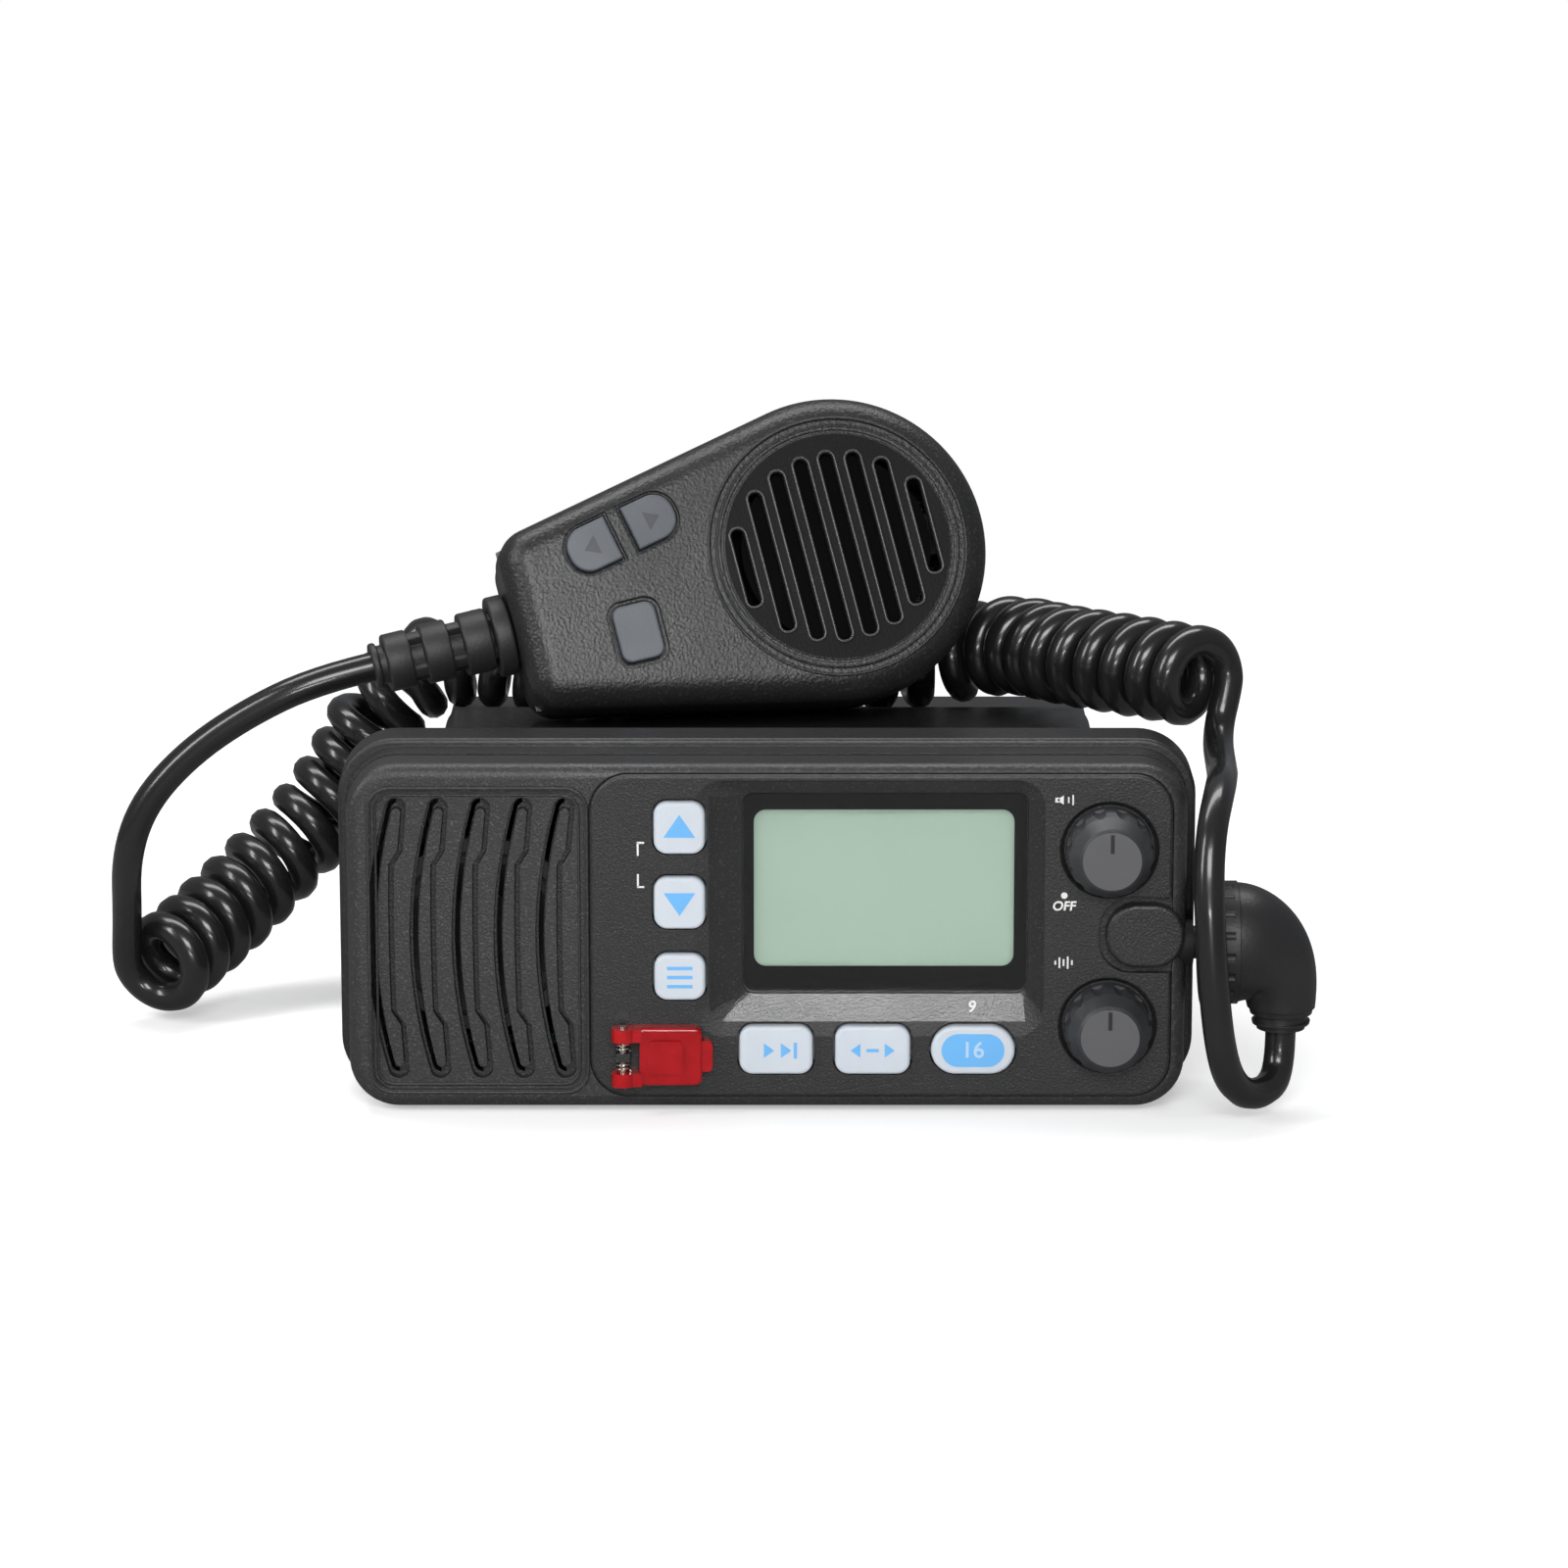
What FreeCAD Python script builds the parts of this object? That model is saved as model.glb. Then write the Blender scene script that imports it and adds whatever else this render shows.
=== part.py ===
import FreeCAD, Part
import math
import os
import re
from types import SimpleNamespace
from FreeCAD import Placement, Rotation, Vector

# Fixed-mount marine VHF transceiver with a hand microphone on a curly cord.
# Millimetres. Origin at the centre of the case's bottom face, +X to the right
# of the front panel, -Y towards the person at the radio, +Z up.

os.makedirs("parts", exist_ok=True)
doc = FreeCAD.newDocument("marine_radio")
sheet = doc.addObject("Spreadsheet::Sheet", "Sizes")

SIZES = {
    # Case
    "case_width": 156.5, "case_height": 66.5, "case_depth": 110,
    "wall": 2.2, "seat_gap": 0.15, "fit_gap": 0.05,
    # Front panel
    "panel_width": 151.8, "panel_height": 64, "layout_height": 64, "panel_lift": 0.8,
    "panel_depth": 9.2,
    "panel_round": 9, "panel_edge": 2.4, "face_step": 0.8,
    "seal_thick": 1, "seal_inset": 1.4, "seal_band": 3, "mat_margin": 0.8,
    # Chassis
    "flange_thick": 5, "flange_inset": 1.8, "rim_thick": 10, "rim_round": 10.5,
    "chassis_width": 124, "plateau_height": 59, "plateau_end": 22, "deck_drop": 5,
    "chassis_wall": 3, "fin_pitch": 8, "fin_slot": 3.4, "fin_depth": 9,
    # Control fascia
    "fascia_left": -31.9, "fascia_right": 73.2,
    "fascia_round": 7, "fascia_thick": 1.8,
    # Grille and loudspeaker
    "grille_left": -71.4, "grille_right": -32.9, "grille_round": 3.6, "grille_sink": 1,
    "slot_first": -66.9, "slot_pitch": 7.6, "slot_count": 5, "slot_width": 3.8,
    "slot_bow": 3.4, "slot_jog": 1.6, "slot_jog_run": 2.6, "blade_gap": 1.15,
    "blade_right_gap": 0.95, "blade_sink": 0.3, "louvre_thick": 1.2,
    "speaker_size": 36, "speaker_centre": -51.8,
    # Display
    "dish_left": -13, "dish_right": 50.2, "dish_round": 5, "dish_sink": 1.2,
    "lens_left": -4.3, "lens_right": 47.1, "lens_round": 2, "lens_thick": 1.6,
    "lcd_left": -2.4, "lcd_right": 44.8, "lcd_thick": 1.2,
    # Keys
    "key_gap": 0.35, "key_proud": 1.1, "key_travel": 0.8, "key_rim": 0.8, "key_flange": 0.8,
    "left_key_x": -15.7, "left_key_width": 9.2, "arrow_key_height": 9.6,
    "menu_key_height": 8.6, "row_key_height": 9, "scan_key_x": 1.7, "scan_key_width": 13.3,
    "channel_key_x": 19.2, "channel_key_width": 13.6, "sixteen_key_x": 37.4,
    "sixteen_key_width": 15.2, "key_round": 2.4,
    # Knobs
    "knob_x": 61.8, "knob_radius": 7.9, "knob_top_radius": 5.8, "knob_front": 8.8,
    "knob_dish_radius": 9, "knob_dish_sink": 1, "shaft_radius": 3, "bush_radius": 4.2,
    "pot_size": 12, "pot_depth": 5.5, "knob_flutes": 12,
    # Distress lid
    "hinge_x": -26, "hinge_y": 2.6, "lid_height": 10.8, "lid_right": -11.7,
    "lid_rise": 3.1, "lid_wall": 1, "knuckle_radius": 2.1, "knuckle_length": 2.5,
    "pin_radius": 0.7, "distress_size": 6.4, "distress_x": -18.2, "distress_travel": 1.2,
    "spring_wire": 0.3, "spring_radius": 1.3,
    # Microphone socket and plug
    "boss_left": 61.3, "boss_height": 11.8, "boss_rise": 1.1,
    "socket_y": 4.8, "plug_neck_radius": 3, "plug_radius": 11.2,
    "plug_body_length": 6.6, "plug_start": 78.7, "socket_wall": 1.1,
    "boot_drop": 4,
    # Curly cord
    "cord_diameter": 5.7, "coil_diameter": 19, "coil_gap": 0.75,
    # Hand microphone
    "mic_radius": 29, "mic_tail": 62.6, "mic_taper": 12, "mic_front_depth": 12.5,
    "mic_back_depth": 14, "mic_round": 6.6, "mic_front_edge": 5.4, "mic_back_edge": 3.2,
    "mic_seam": 0.8, "mic_wall": 2, "mic_disc_radius": 24.2, "mic_groove": 1,
    "talk_depth": 3.4, "talk_rise": 1.4, "talk_travel": 1.2,
    "mic_slots": 9, "mic_slot_pitch": 5, "mic_slot_width": 2.6,
    "mic_lean": 20, "mic_turn": 8, "mic_x": 13.3, "mic_y": 59.2, "mic_rise": 34.9,
    "pad_length": 11.6, "pad_half": 5.1, "pad_depth": 1, "pad_bar": 1, "key_inset": 0.75,
    "boot_length": 27, "boot_radius": 6.1, "boot_tip_radius": 5.2, "collar_radius": 7.7,
    # Rear and sides
    "antenna_x": 38, "antenna_z": 33, "antenna_radius": 7.94, "antenna_length": 12,
    "bracket_y": 8, "bracket_z": 32, "bracket_boss": 8, "bracket_bore": 2.5,
    "bracket_rise": 4, "bracket_depth": 9, "board_thick": 1.6,
}

# Sizes that follow others. Heights on the front panel keep their share of it.
RULES = {
    "front_scale": "panel_height / layout_height",
    "deck_height": "plateau_height - deck_drop",
    "coil_rest": "deck_height + coil_diameter / 2",
    "mic_z": "plateau_height + mic_rise",
    "fascia_low": "panel_lift + 2.4 * front_scale",
    "fascia_high": "panel_lift + 62.4 * front_scale",
    "grille_low": "panel_lift + 3.5 * front_scale",
    "grille_high": "panel_lift + 59.3 * front_scale",
    "slot_middle": "panel_lift + 31.6 * front_scale",
    "slot_length": "49 * front_scale",
    "jog_rise": "15 * front_scale",
    "dish_low": "panel_lift + 13.8 * front_scale",
    "dish_high": "panel_lift + 61.4 * front_scale",
    "lens_low": "panel_lift + 21.6 * front_scale",
    "lens_high": "panel_lift + 58.8 * front_scale",
    "lcd_low": "panel_lift + 25.8 * front_scale",
    "lcd_high": "panel_lift + 56 * front_scale",
    "up_key_z": "panel_lift + 52.8 * front_scale",
    "down_key_z": "panel_lift + 38.9 * front_scale",
    "menu_key_z": "panel_lift + 25.1 * front_scale",
    "row_key_z": "panel_lift + 11.4 * front_scale",
    "volume_z": "panel_lift + 48.5 * front_scale",
    "squelch_z": "panel_lift + 15.8 * front_scale",
    "boss_low": "panel_lift + 26.8 * front_scale",
    "boss_high": "boss_low + boss_height",
    "lid_low": "panel_lift + 5.3 * front_scale",
    "lid_high": "lid_low + lid_height",
    "plug_z": "boss_low + 3.4",
}
cells = [(name, str(number)) for name, number in SIZES.items()]
cells += [(name, "=" + rule) for name, rule in RULES.items()]
for row, (name, content) in enumerate(cells, start=1):
    sheet.set(f"A{row}", name)
    sheet.set(f"B{row}", content)
    sheet.setAlias(f"B{row}", name)
doc.recompute()
size = SimpleNamespace(**{name: float(sheet.get(name)) for name, content in cells})

# Places that several pieces share, each worked out from the driving sizes
FRONT = -size.case_depth / 2
FACE = FRONT + size.face_step
PANEL_BACK = FRONT + size.panel_depth
SEAL_BACK = PANEL_BACK + size.seal_thick
RIM_FRONT = SEAL_BACK + size.flange_thick
RIM_BACK = RIM_FRONT + size.rim_thick
REAR = size.case_depth / 2
POCKET = FRONT + size.fascia_thick
WALL_BACK = POCKET + size.wall
ROUND_OFF = 0.0001


def linked(rule):
    return re.sub(r"[a-z_]+[a-z0-9_]*", lambda word: "Sizes." + word.group(), rule)


def bind(part, **rules):
    for prop, rule in rules.items():
        part.setExpression(prop.replace("_", "."), linked(rule))


def block(name, x, y, z):
    """Box between two expressions on each axis, bound to the sheet."""
    part = doc.addObject("Part::Box", name)
    bind(part, Length=f"({x[1]}) - ({x[0]})", Width=f"({y[1]}) - ({y[0]})",
         Height=f"({z[1]}) - ({z[0]})", Placement_Base_x=x[0], Placement_Base_y=y[0],
         Placement_Base_z=z[0])
    return part


def rod(name, radius, length, start, axis="y"):
    """Cylinder from a start point along +X, +Y or +Z, bound to the sheet."""
    part = doc.addObject("Part::Cylinder", name)
    turns = {"x": Rotation(Vector(0, 1, 0), 90), "y": Rotation(Vector(1, 0, 0), -90),
             "z": Rotation()}
    part.Placement = Placement(Vector(), turns[axis])
    bind(part, Radius=radius, Height=length, Placement_Base_x=start[0],
         Placement_Base_y=start[1], Placement_Base_z=start[2])
    return part


def runs_along(axis):
    def pick(edge):
        return abs(abs(edge.tangentAt(edge.FirstParameter).dot(axis)) - 1) < ROUND_OFF
    return pick


NODES = {}


def node(name, part):
    part.Label = name
    NODES[name] = part
    return part


def solid(name, shape, place=None):
    """Piece whose shape comes from the sheet's values through Part's own functions."""
    part = doc.addObject("Part::Feature", name)
    part.Shape = shape
    if place is not None:
        part.Placement = place
    return node(name, part)


def tablet(x, y, z, radius):
    """Block with four rounded corners seen from the front."""
    radius = min(radius, 0.499 * (x[1] - x[0]), 0.499 * (z[1] - z[0]))
    shape = Part.makeBox(x[1] - x[0], y[1] - y[0], z[1] - z[0], Vector(x[0], y[0], z[0]))
    edges = [edge for edge in shape.Edges if runs_along(Vector(0, 1, 0))(edge)]
    return shape.makeFillet(radius, edges)


def bar(radius, start, end):
    return Part.makeCylinder(radius, (end - start).Length, start, end - start)


def brick(x, y, z):
    return Part.makeBox(x[1] - x[0], y[1] - y[0], z[1] - z[0], Vector(x[0], y[0], z[0]))


def joined(*shapes):
    return shapes[0].multiFuse(list(shapes[1:])).removeSplitter()


def faces_to(shape, direction, place):
    """Edges that bound the flat face of a shape at a place along a direction."""
    edges = []
    for face in shape.Faces:
        flat = face.Surface.TypeId == "Part::GeomPlane"
        if flat and abs(face.CenterOfMass.dot(direction) - place) < ROUND_OFF:
            edges.extend(face.OuterWire.Edges)
    return edges


# Front panel: one moulded shell, open at the back, with the sunk grille field,
# the pocket for the control fascia and the raised boss over the socket.
half_panel = size.panel_width / 2
panel_top = size.panel_lift + size.panel_height
outer = tablet((-half_panel, half_panel), (FACE, PANEL_BACK), (size.panel_lift, panel_top),
               size.panel_round)
outer = outer.makeFillet(size.panel_edge, faces_to(outer, Vector(0, -1, 0), -FACE))
hollow = tablet((-half_panel + size.wall, half_panel - size.wall), (WALL_BACK, PANEL_BACK + 1),
                (size.panel_lift + size.wall, panel_top - size.wall),
                size.panel_round - size.wall)
grille_sink = tablet((size.grille_left, size.grille_right), (FRONT - 1, FACE + size.grille_sink),
                     (size.grille_low, size.grille_high), size.grille_round)
fascia_pocket = tablet((size.fascia_left - size.seat_gap, size.fascia_right + size.seat_gap),
                       (FRONT - 1, POCKET), (size.fascia_low - size.seat_gap,
                                             size.fascia_high + size.seat_gap),
                       size.fascia_round)
plug_y = FRONT + size.socket_y
socket_bore = bar(size.plug_neck_radius + size.socket_wall, Vector(half_panel - 12, plug_y,
                                                                  size.plug_z),
                  Vector(half_panel + 1, plug_y, size.plug_z))


def slot_prism(centre, left_gap, right_gap, near, far):
    """Louvre opening, or the blade in it when the gaps are more than nothing.

    The left edge is one long bow. The right edge steps inwards along its
    middle, so that the ribs between the openings are broader there.
    """
    left_end = centre - size.slot_width / 2
    left_mid = left_end - size.slot_bow + left_gap * 1.4
    right_end = centre + size.slot_width / 2 - right_gap
    right_in = right_end - 0.7 - size.slot_jog
    right_mid = right_in - 0.15
    half_length = size.slot_length / 2 - max(left_gap, right_gap)
    low = size.slot_middle - half_length
    high = size.slot_middle + half_length
    jog_high = size.slot_middle + size.jog_rise
    jog_low = size.slot_middle - size.jog_rise
    half_run = size.slot_jog_run / 2
    end_bow = (size.slot_width - left_gap - right_gap) * 0.45
    top_left = Vector(left_end + left_gap, near, high)
    top_right = Vector(right_end, near, high)
    upper_out = Vector(right_end - 0.7, near, jog_high + half_run)
    upper_in = Vector(right_in, near, jog_high - half_run)
    lower_in = Vector(right_in + 0.1, near, jog_low + half_run)
    lower_out = Vector(right_end - 0.5, near, jog_low - half_run)
    low_right = Vector(right_end, near, low)
    low_left = Vector(left_end + left_gap, near, low)
    crown = Vector(centre, near, high + end_bow)
    foot = Vector(centre, near, low - end_bow)
    edges = [Part.Arc(low_left, Vector(left_mid, near, size.slot_middle), top_left).toShape(),
             Part.Arc(top_left, crown, top_right).toShape(),
             Part.LineSegment(top_right, upper_out).toShape(),
             Part.LineSegment(upper_out, upper_in).toShape(),
             Part.Arc(upper_in, Vector(right_mid, near, size.slot_middle), lower_in).toShape(),
             Part.LineSegment(lower_in, lower_out).toShape(),
             Part.LineSegment(lower_out, low_right).toShape(),
             Part.Arc(low_right, foot, low_left).toShape()]
    return Part.Face(Part.Wire(edges)).extrude(Vector(0, far - near, 0))


slot_centres = [size.slot_first + k * size.slot_pitch for k in range(int(size.slot_count))]
slots = [slot_prism(x, 0, 0, FRONT - 1, WALL_BACK + 1) for x in slot_centres]


def key_hole(x, z, width, height, radius, gap):
    return tablet((x - width / 2 - gap, x + width / 2 + gap), (FRONT - 2, WALL_BACK + 1),
                  (z - height / 2 - gap, z + height / 2 + gap), radius + gap)


KEYS = {
    "key_up": (size.left_key_x, size.up_key_z, size.left_key_width, size.arrow_key_height,
               size.key_round),
    "key_down": (size.left_key_x, size.down_key_z, size.left_key_width, size.arrow_key_height,
                 size.key_round),
    "key_menu": (size.left_key_x, size.menu_key_z, size.left_key_width, size.menu_key_height,
                 size.key_round),
    "key_scan": (size.scan_key_x, size.row_key_z, size.scan_key_width, size.row_key_height,
                 size.key_round),
    "key_channel": (size.channel_key_x, size.row_key_z, size.channel_key_width,
                    size.row_key_height, size.key_round),
    "key_sixteen": (size.sixteen_key_x, size.row_key_z, size.sixteen_key_width,
                    size.row_key_height, size.row_key_height / 2),
}
key_holes = [key_hole(x, z, wide, tall, radius, size.key_gap)
             for x, z, wide, tall, radius in KEYS.values()]
distress_z = (size.lid_low + size.lid_high) / 2
distress_hole = brick((size.distress_x - size.distress_size / 2 - size.key_gap,
                       size.distress_x + size.distress_size / 2 + size.key_gap),
                      (FRONT - 2, WALL_BACK + 1),
                      (distress_z - size.distress_size / 2 - size.key_gap,
                       distress_z + size.distress_size / 2 + size.key_gap))
lens_hole = tablet((size.lens_left + 1, size.lens_right - 1), (FRONT - 1, WALL_BACK + 1),
                   (size.lens_low + 1, size.lens_high - 1), size.lens_round)
lens_y = FRONT + size.dish_sink
lens_back = lens_y + size.lens_thick
lens_seat = tablet((size.lens_left - size.seat_gap, size.lens_right + size.seat_gap),
                   (FRONT - 1, lens_back + size.seat_gap / 2),
                   (size.lens_low - size.seat_gap, size.lens_high + size.seat_gap),
                   size.lens_round)
KNOBS = {"volume": size.volume_z, "squelch": size.squelch_z}
bush_holes = [bar(size.bush_radius + size.seat_gap, Vector(size.knob_x, FRONT - 2, z),
                  Vector(size.knob_x, WALL_BACK + 1, z)) for z in KNOBS.values()]
boss = tablet((size.boss_left, half_panel - 1), (FRONT - size.boss_rise, WALL_BACK + 1),
              (size.boss_low, size.boss_high), (size.boss_high - size.boss_low) / 2 - 0.2)
socket_block = brick((half_panel - 12, half_panel - 1), (FACE + 1, PANEL_BACK),
                     (size.plug_z - 8, size.plug_z + 8))
panel = outer.cut(hollow).fuse(socket_block)
panel = panel.cut([grille_sink, fascia_pocket, socket_bore, distress_hole, lens_hole, lens_seat]
                  + slots + key_holes + bush_holes)
solid("front_panel", panel.removeSplitter())

# Control fascia: a textured plate in its pocket, with the sloping dish round
# the display, the round dishes under the knobs and the hinge post of the lid.
fascia = tablet((size.fascia_left, size.fascia_right), (FRONT, POCKET - size.seat_gap / 5),
                (size.fascia_low, size.fascia_high), size.fascia_round)
fascia = fascia.makeFillet(0.6, faces_to(fascia, Vector(0, -1, 0), -FRONT))


def ring_wire(left, right, low, high, radius, y):
    """Rounded rectangle standing at one depth."""
    shape = tablet((left, right), (y, y + 1), (low, high), radius)
    for face in shape.Faces:
        if abs(face.CenterOfMass.y - y) < ROUND_OFF:
            return face.OuterWire
    return None


dish = Part.makeLoft([ring_wire(size.dish_left, size.dish_right, size.dish_low, size.dish_high,
                                size.dish_round, FRONT - ROUND_OFF),
                      ring_wire(size.lens_left, size.lens_right, size.lens_low, size.lens_high,
                                size.lens_round, lens_y)], True, True)
knob_dishes = [Part.makeCone(size.knob_dish_radius, size.knob_dish_radius - 0.8,
                             size.knob_dish_sink, Vector(size.knob_x, FRONT, z),
                             Vector(0, 1, 0)) for z in KNOBS.values()]
boss_clear = tablet((size.boss_left - 1.2, size.fascia_right + 5), (FRONT - 1, POCKET + 1),
                    (size.boss_low - 1.2, size.boss_high + 1.2),
                    (size.boss_high - size.boss_low) / 2)
lid_well = tablet((size.distress_x - size.distress_size / 2 - 1.2,
                   size.distress_x + size.distress_size / 2 + 1.2),
                  (FRONT - 1, FRONT + 0.7), (distress_z - size.distress_size / 2 - 1.2,
                                             distress_z + size.distress_size / 2 + 1.2), 1)
fascia = fascia.cut([dish, lens_seat, boss_clear, lid_well, distress_hole] + knob_dishes
                    + key_holes + bush_holes)
hinge_y = FRONT - size.hinge_y
post_half = 0.8
hinge_post = brick((size.hinge_x - 1.3, size.hinge_x + 1.3), (hinge_y - 1.3, FRONT + 1),
                   (distress_z - post_half, distress_z + post_half))
hinge_post = hinge_post.fuse(bar(1.3, Vector(size.hinge_x, hinge_y, distress_z - post_half),
                                 Vector(size.hinge_x, hinge_y, distress_z + post_half)))
pin_ends = (Vector(size.hinge_x, hinge_y, size.lid_low - 0.3),
            Vector(size.hinge_x, hinge_y, size.lid_high + 0.3))
hinge_post = hinge_post.cut(bar(size.pin_radius + size.fit_gap / 5, *pin_ends))
solid("control_fascia", fascia.fuse(hinge_post).removeSplitter())

# Socket boss: bare textured cover over the microphone socket.
boss_cover = tablet((size.boss_left, half_panel - 0.4), (FRONT - size.boss_rise, POCKET - 0.03),
                    (size.boss_low, size.boss_high), (size.boss_high - size.boss_low) / 2 - 0.2)
boss_cover = boss_cover.makeFillet(0.8, faces_to(boss_cover, Vector(0, -1, 0),
                                                -FRONT + size.boss_rise))
boss_cover = boss_cover.cut(brick((size.fascia_right + 0.1, half_panel + 1),
                                  (FACE - 0.05, POCKET + 1), (0, size.case_height)))
boss_cover = boss_cover.cut(bar(size.plug_neck_radius + size.socket_wall + 0.12,
                                Vector(half_panel - 12.2, plug_y, size.plug_z),
                                Vector(half_panel + 1, plug_y, size.plug_z)))
solid("socket_cover", boss_cover)

# Louvres: five blades standing in the openings, on one carrier plate with a
# narrow sound window beside each blade.
blade_y = WALL_BACK + size.seat_gap / 5
blades = [slot_prism(x, size.blade_gap, size.blade_right_gap,
                     FACE + size.grille_sink + size.blade_sink, blade_y + 0.4)
          for x in slot_centres]
carrier = tablet((size.grille_left + 0.4, size.grille_right - 0.6),
                 (blade_y, blade_y + size.louvre_thick), (size.grille_low + 0.8,
                                                          size.grille_high - 1.6), 2)
WINDOW_INSET = 0.35
windows = []
for x in slot_centres:
    opening = slot_prism(x, WINDOW_INSET, WINDOW_INSET, blade_y - 1, blade_y + 3)
    kept = slot_prism(x, size.blade_gap - 0.2, 0, blade_y - 2, blade_y + 4)
    beyond = brick((x, x + size.slot_pitch), (blade_y - 2, blade_y + 4), (0, size.case_height))
    windows.append(opening.cut([kept, beyond]))
solid("grille_louvres", joined(carrier.cut(windows), *blades))

# Loudspeaker: gasket, basket, cone and magnet behind the louvres.
speaker_y = blade_y + size.louvre_thick
speaker_z = size.slot_middle


def speaker_disc(radius, near, far):
    start = Vector(size.speaker_centre, speaker_y + near, speaker_z)
    return bar(radius, start, start + Vector(0, far - near, 0))


cone_radius = size.speaker_size / 2
solid("speaker_gasket", speaker_disc(cone_radius, 0, 1).cut(
    speaker_disc(cone_radius - 2.4, -1, 2)))
basket = speaker_disc(cone_radius, 1, 2.2)
basket = basket.fuse(Part.makeCone(cone_radius - 2, 9, 7, Vector(size.speaker_centre,
                                                               speaker_y + 2.2, speaker_z),
                                   Vector(0, 1, 0)))
basket = basket.cut(Part.makeCone(cone_radius - 2.6, 7.4, 9.2,
                                  Vector(size.speaker_centre, speaker_y, speaker_z),
                                  Vector(0, 1, 0)))
solid("speaker_frame", basket)
cone = Part.makeCone(cone_radius - 3.2, 6.8, 7.4, Vector(size.speaker_centre, speaker_y + 0.6,
                                                        speaker_z), Vector(0, 1, 0))
cone = cone.cut(Part.makeCone(cone_radius - 3.8, 6.2, 7.4,
                              Vector(size.speaker_centre, speaker_y, speaker_z),
                              Vector(0, 1, 0)))
solid("speaker_cone", cone)
solid("speaker_magnet", speaker_disc(10, 9.2, 14.6).fuse(speaker_disc(8.4, 14.6, 16)))

# Display: clear lens in the dish, glass cell, and the holder that clips it.
lens = tablet((size.lens_left, size.lens_right), (lens_y, lens_back),
              (size.lens_low, size.lens_high), size.lens_round)
solid("display_lens", lens)
lcd_y = WALL_BACK + 0.2
lcd_front = f"-case_depth / 2 + {lcd_y - FRONT}"
lcd = block("lcd_glass", ("lcd_left", "lcd_right"), (lcd_front, lcd_front + " + lcd_thick"),
            ("lcd_low", "lcd_high"))
node("lcd_glass", lcd)
holder = tablet((size.lcd_left - 2, size.lcd_right + 2), (lcd_y, lcd_y + 3.6),
                (size.lcd_low - 2, size.lcd_high + 1.8), 1.5)
holder = holder.cut(brick((size.lcd_left - 0.1, size.lcd_right + 0.1), (lcd_y - 1,
                                                                   lcd_y + size.lcd_thick),
                          (size.lcd_low - 0.1, size.lcd_high + 0.1)))
solid("lcd_holder", holder)

# Keys: each a moulded cap with a flange that stops behind the panel.
board_y = PANEL_BACK + 0.6
mat_y = board_y - 1.2


def key_cap(x, z, wide, tall, radius):
    cap = tablet((x - wide / 2, x + wide / 2), (FRONT - size.key_proud, WALL_BACK + 0.2),
                 (z - tall / 2, z + tall / 2), radius)
    cap = cap.makeFillet(0.7, faces_to(cap, Vector(0, -1, 0), -FRONT + size.key_proud))
    rim = tablet((x - wide / 2 - size.key_rim, x + wide / 2 + size.key_rim),
                 (WALL_BACK + 0.15, WALL_BACK + 0.15 + size.key_flange),
                 (z - tall / 2 - size.key_rim, z + tall / 2 + size.key_rim), radius)
    stem = brick((x - 2, x + 2), (WALL_BACK + 0.3, mat_y - size.key_travel - 0.05),
                 (z - 1.5, z + 1.5))
    return joined(cap, rim, stem)


for name, (x, z, wide, tall, radius) in KEYS.items():
    solid(name, key_cap(x, z, wide, tall, radius))
distress_half = size.distress_size / 2
plunger = brick((size.distress_x - distress_half, size.distress_x + distress_half),
                (FRONT - 0.9, WALL_BACK + 0.3),
                (distress_z - distress_half, distress_z + distress_half))
plunger = plunger.makeFillet(0.6, faces_to(plunger, Vector(0, -1, 0), -FRONT + 0.9))
plunger_rim = brick((size.distress_x - distress_half - 0.9,
                     size.distress_x + distress_half + 0.9),
                    (WALL_BACK + 0.15, WALL_BACK + 0.15 + size.key_flange),
                    (distress_z - distress_half - 0.9, distress_z + distress_half + 0.9))
plunger_stem = brick((size.distress_x - 2, size.distress_x + 2),
                     (WALL_BACK + 0.3, mat_y - size.distress_travel - 0.05),
                     (distress_z - 1.5, distress_z + 1.5))
solid("distress_button", joined(plunger, plunger_rim, plunger_stem))

# Rubber switch mat and the control board that it lies on.
mat_left = size.left_key_x - size.left_key_width / 2 - 8
seal_inner_low = size.panel_lift + size.seal_inset + size.seal_band
seal_inner_high = panel_top - size.seal_inset - size.seal_band
mat = brick((mat_left, size.sixteen_key_x + size.sixteen_key_width / 2 + 1),
            (mat_y, board_y), (seal_inner_low, size.row_key_z + 6.6))
mat = mat.fuse(brick((mat_left, size.left_key_x + size.left_key_width / 2 + 1),
                     (mat_y, board_y), (seal_inner_low, seal_inner_high - size.mat_margin)))
solid("keypad_mat", mat.removeSplitter())
rear_of_holder = f"{board_y - FRONT}"
node("control_board", block("control_board", ("grille_right + 5", "fascia_right - 5"),
                            (f"-case_depth / 2 + {rear_of_holder}",
                             f"-case_depth / 2 + {rear_of_holder} + board_thick"),
                            ("panel_lift + wall + 3", "panel_lift + panel_height - wall - 3")))

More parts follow.
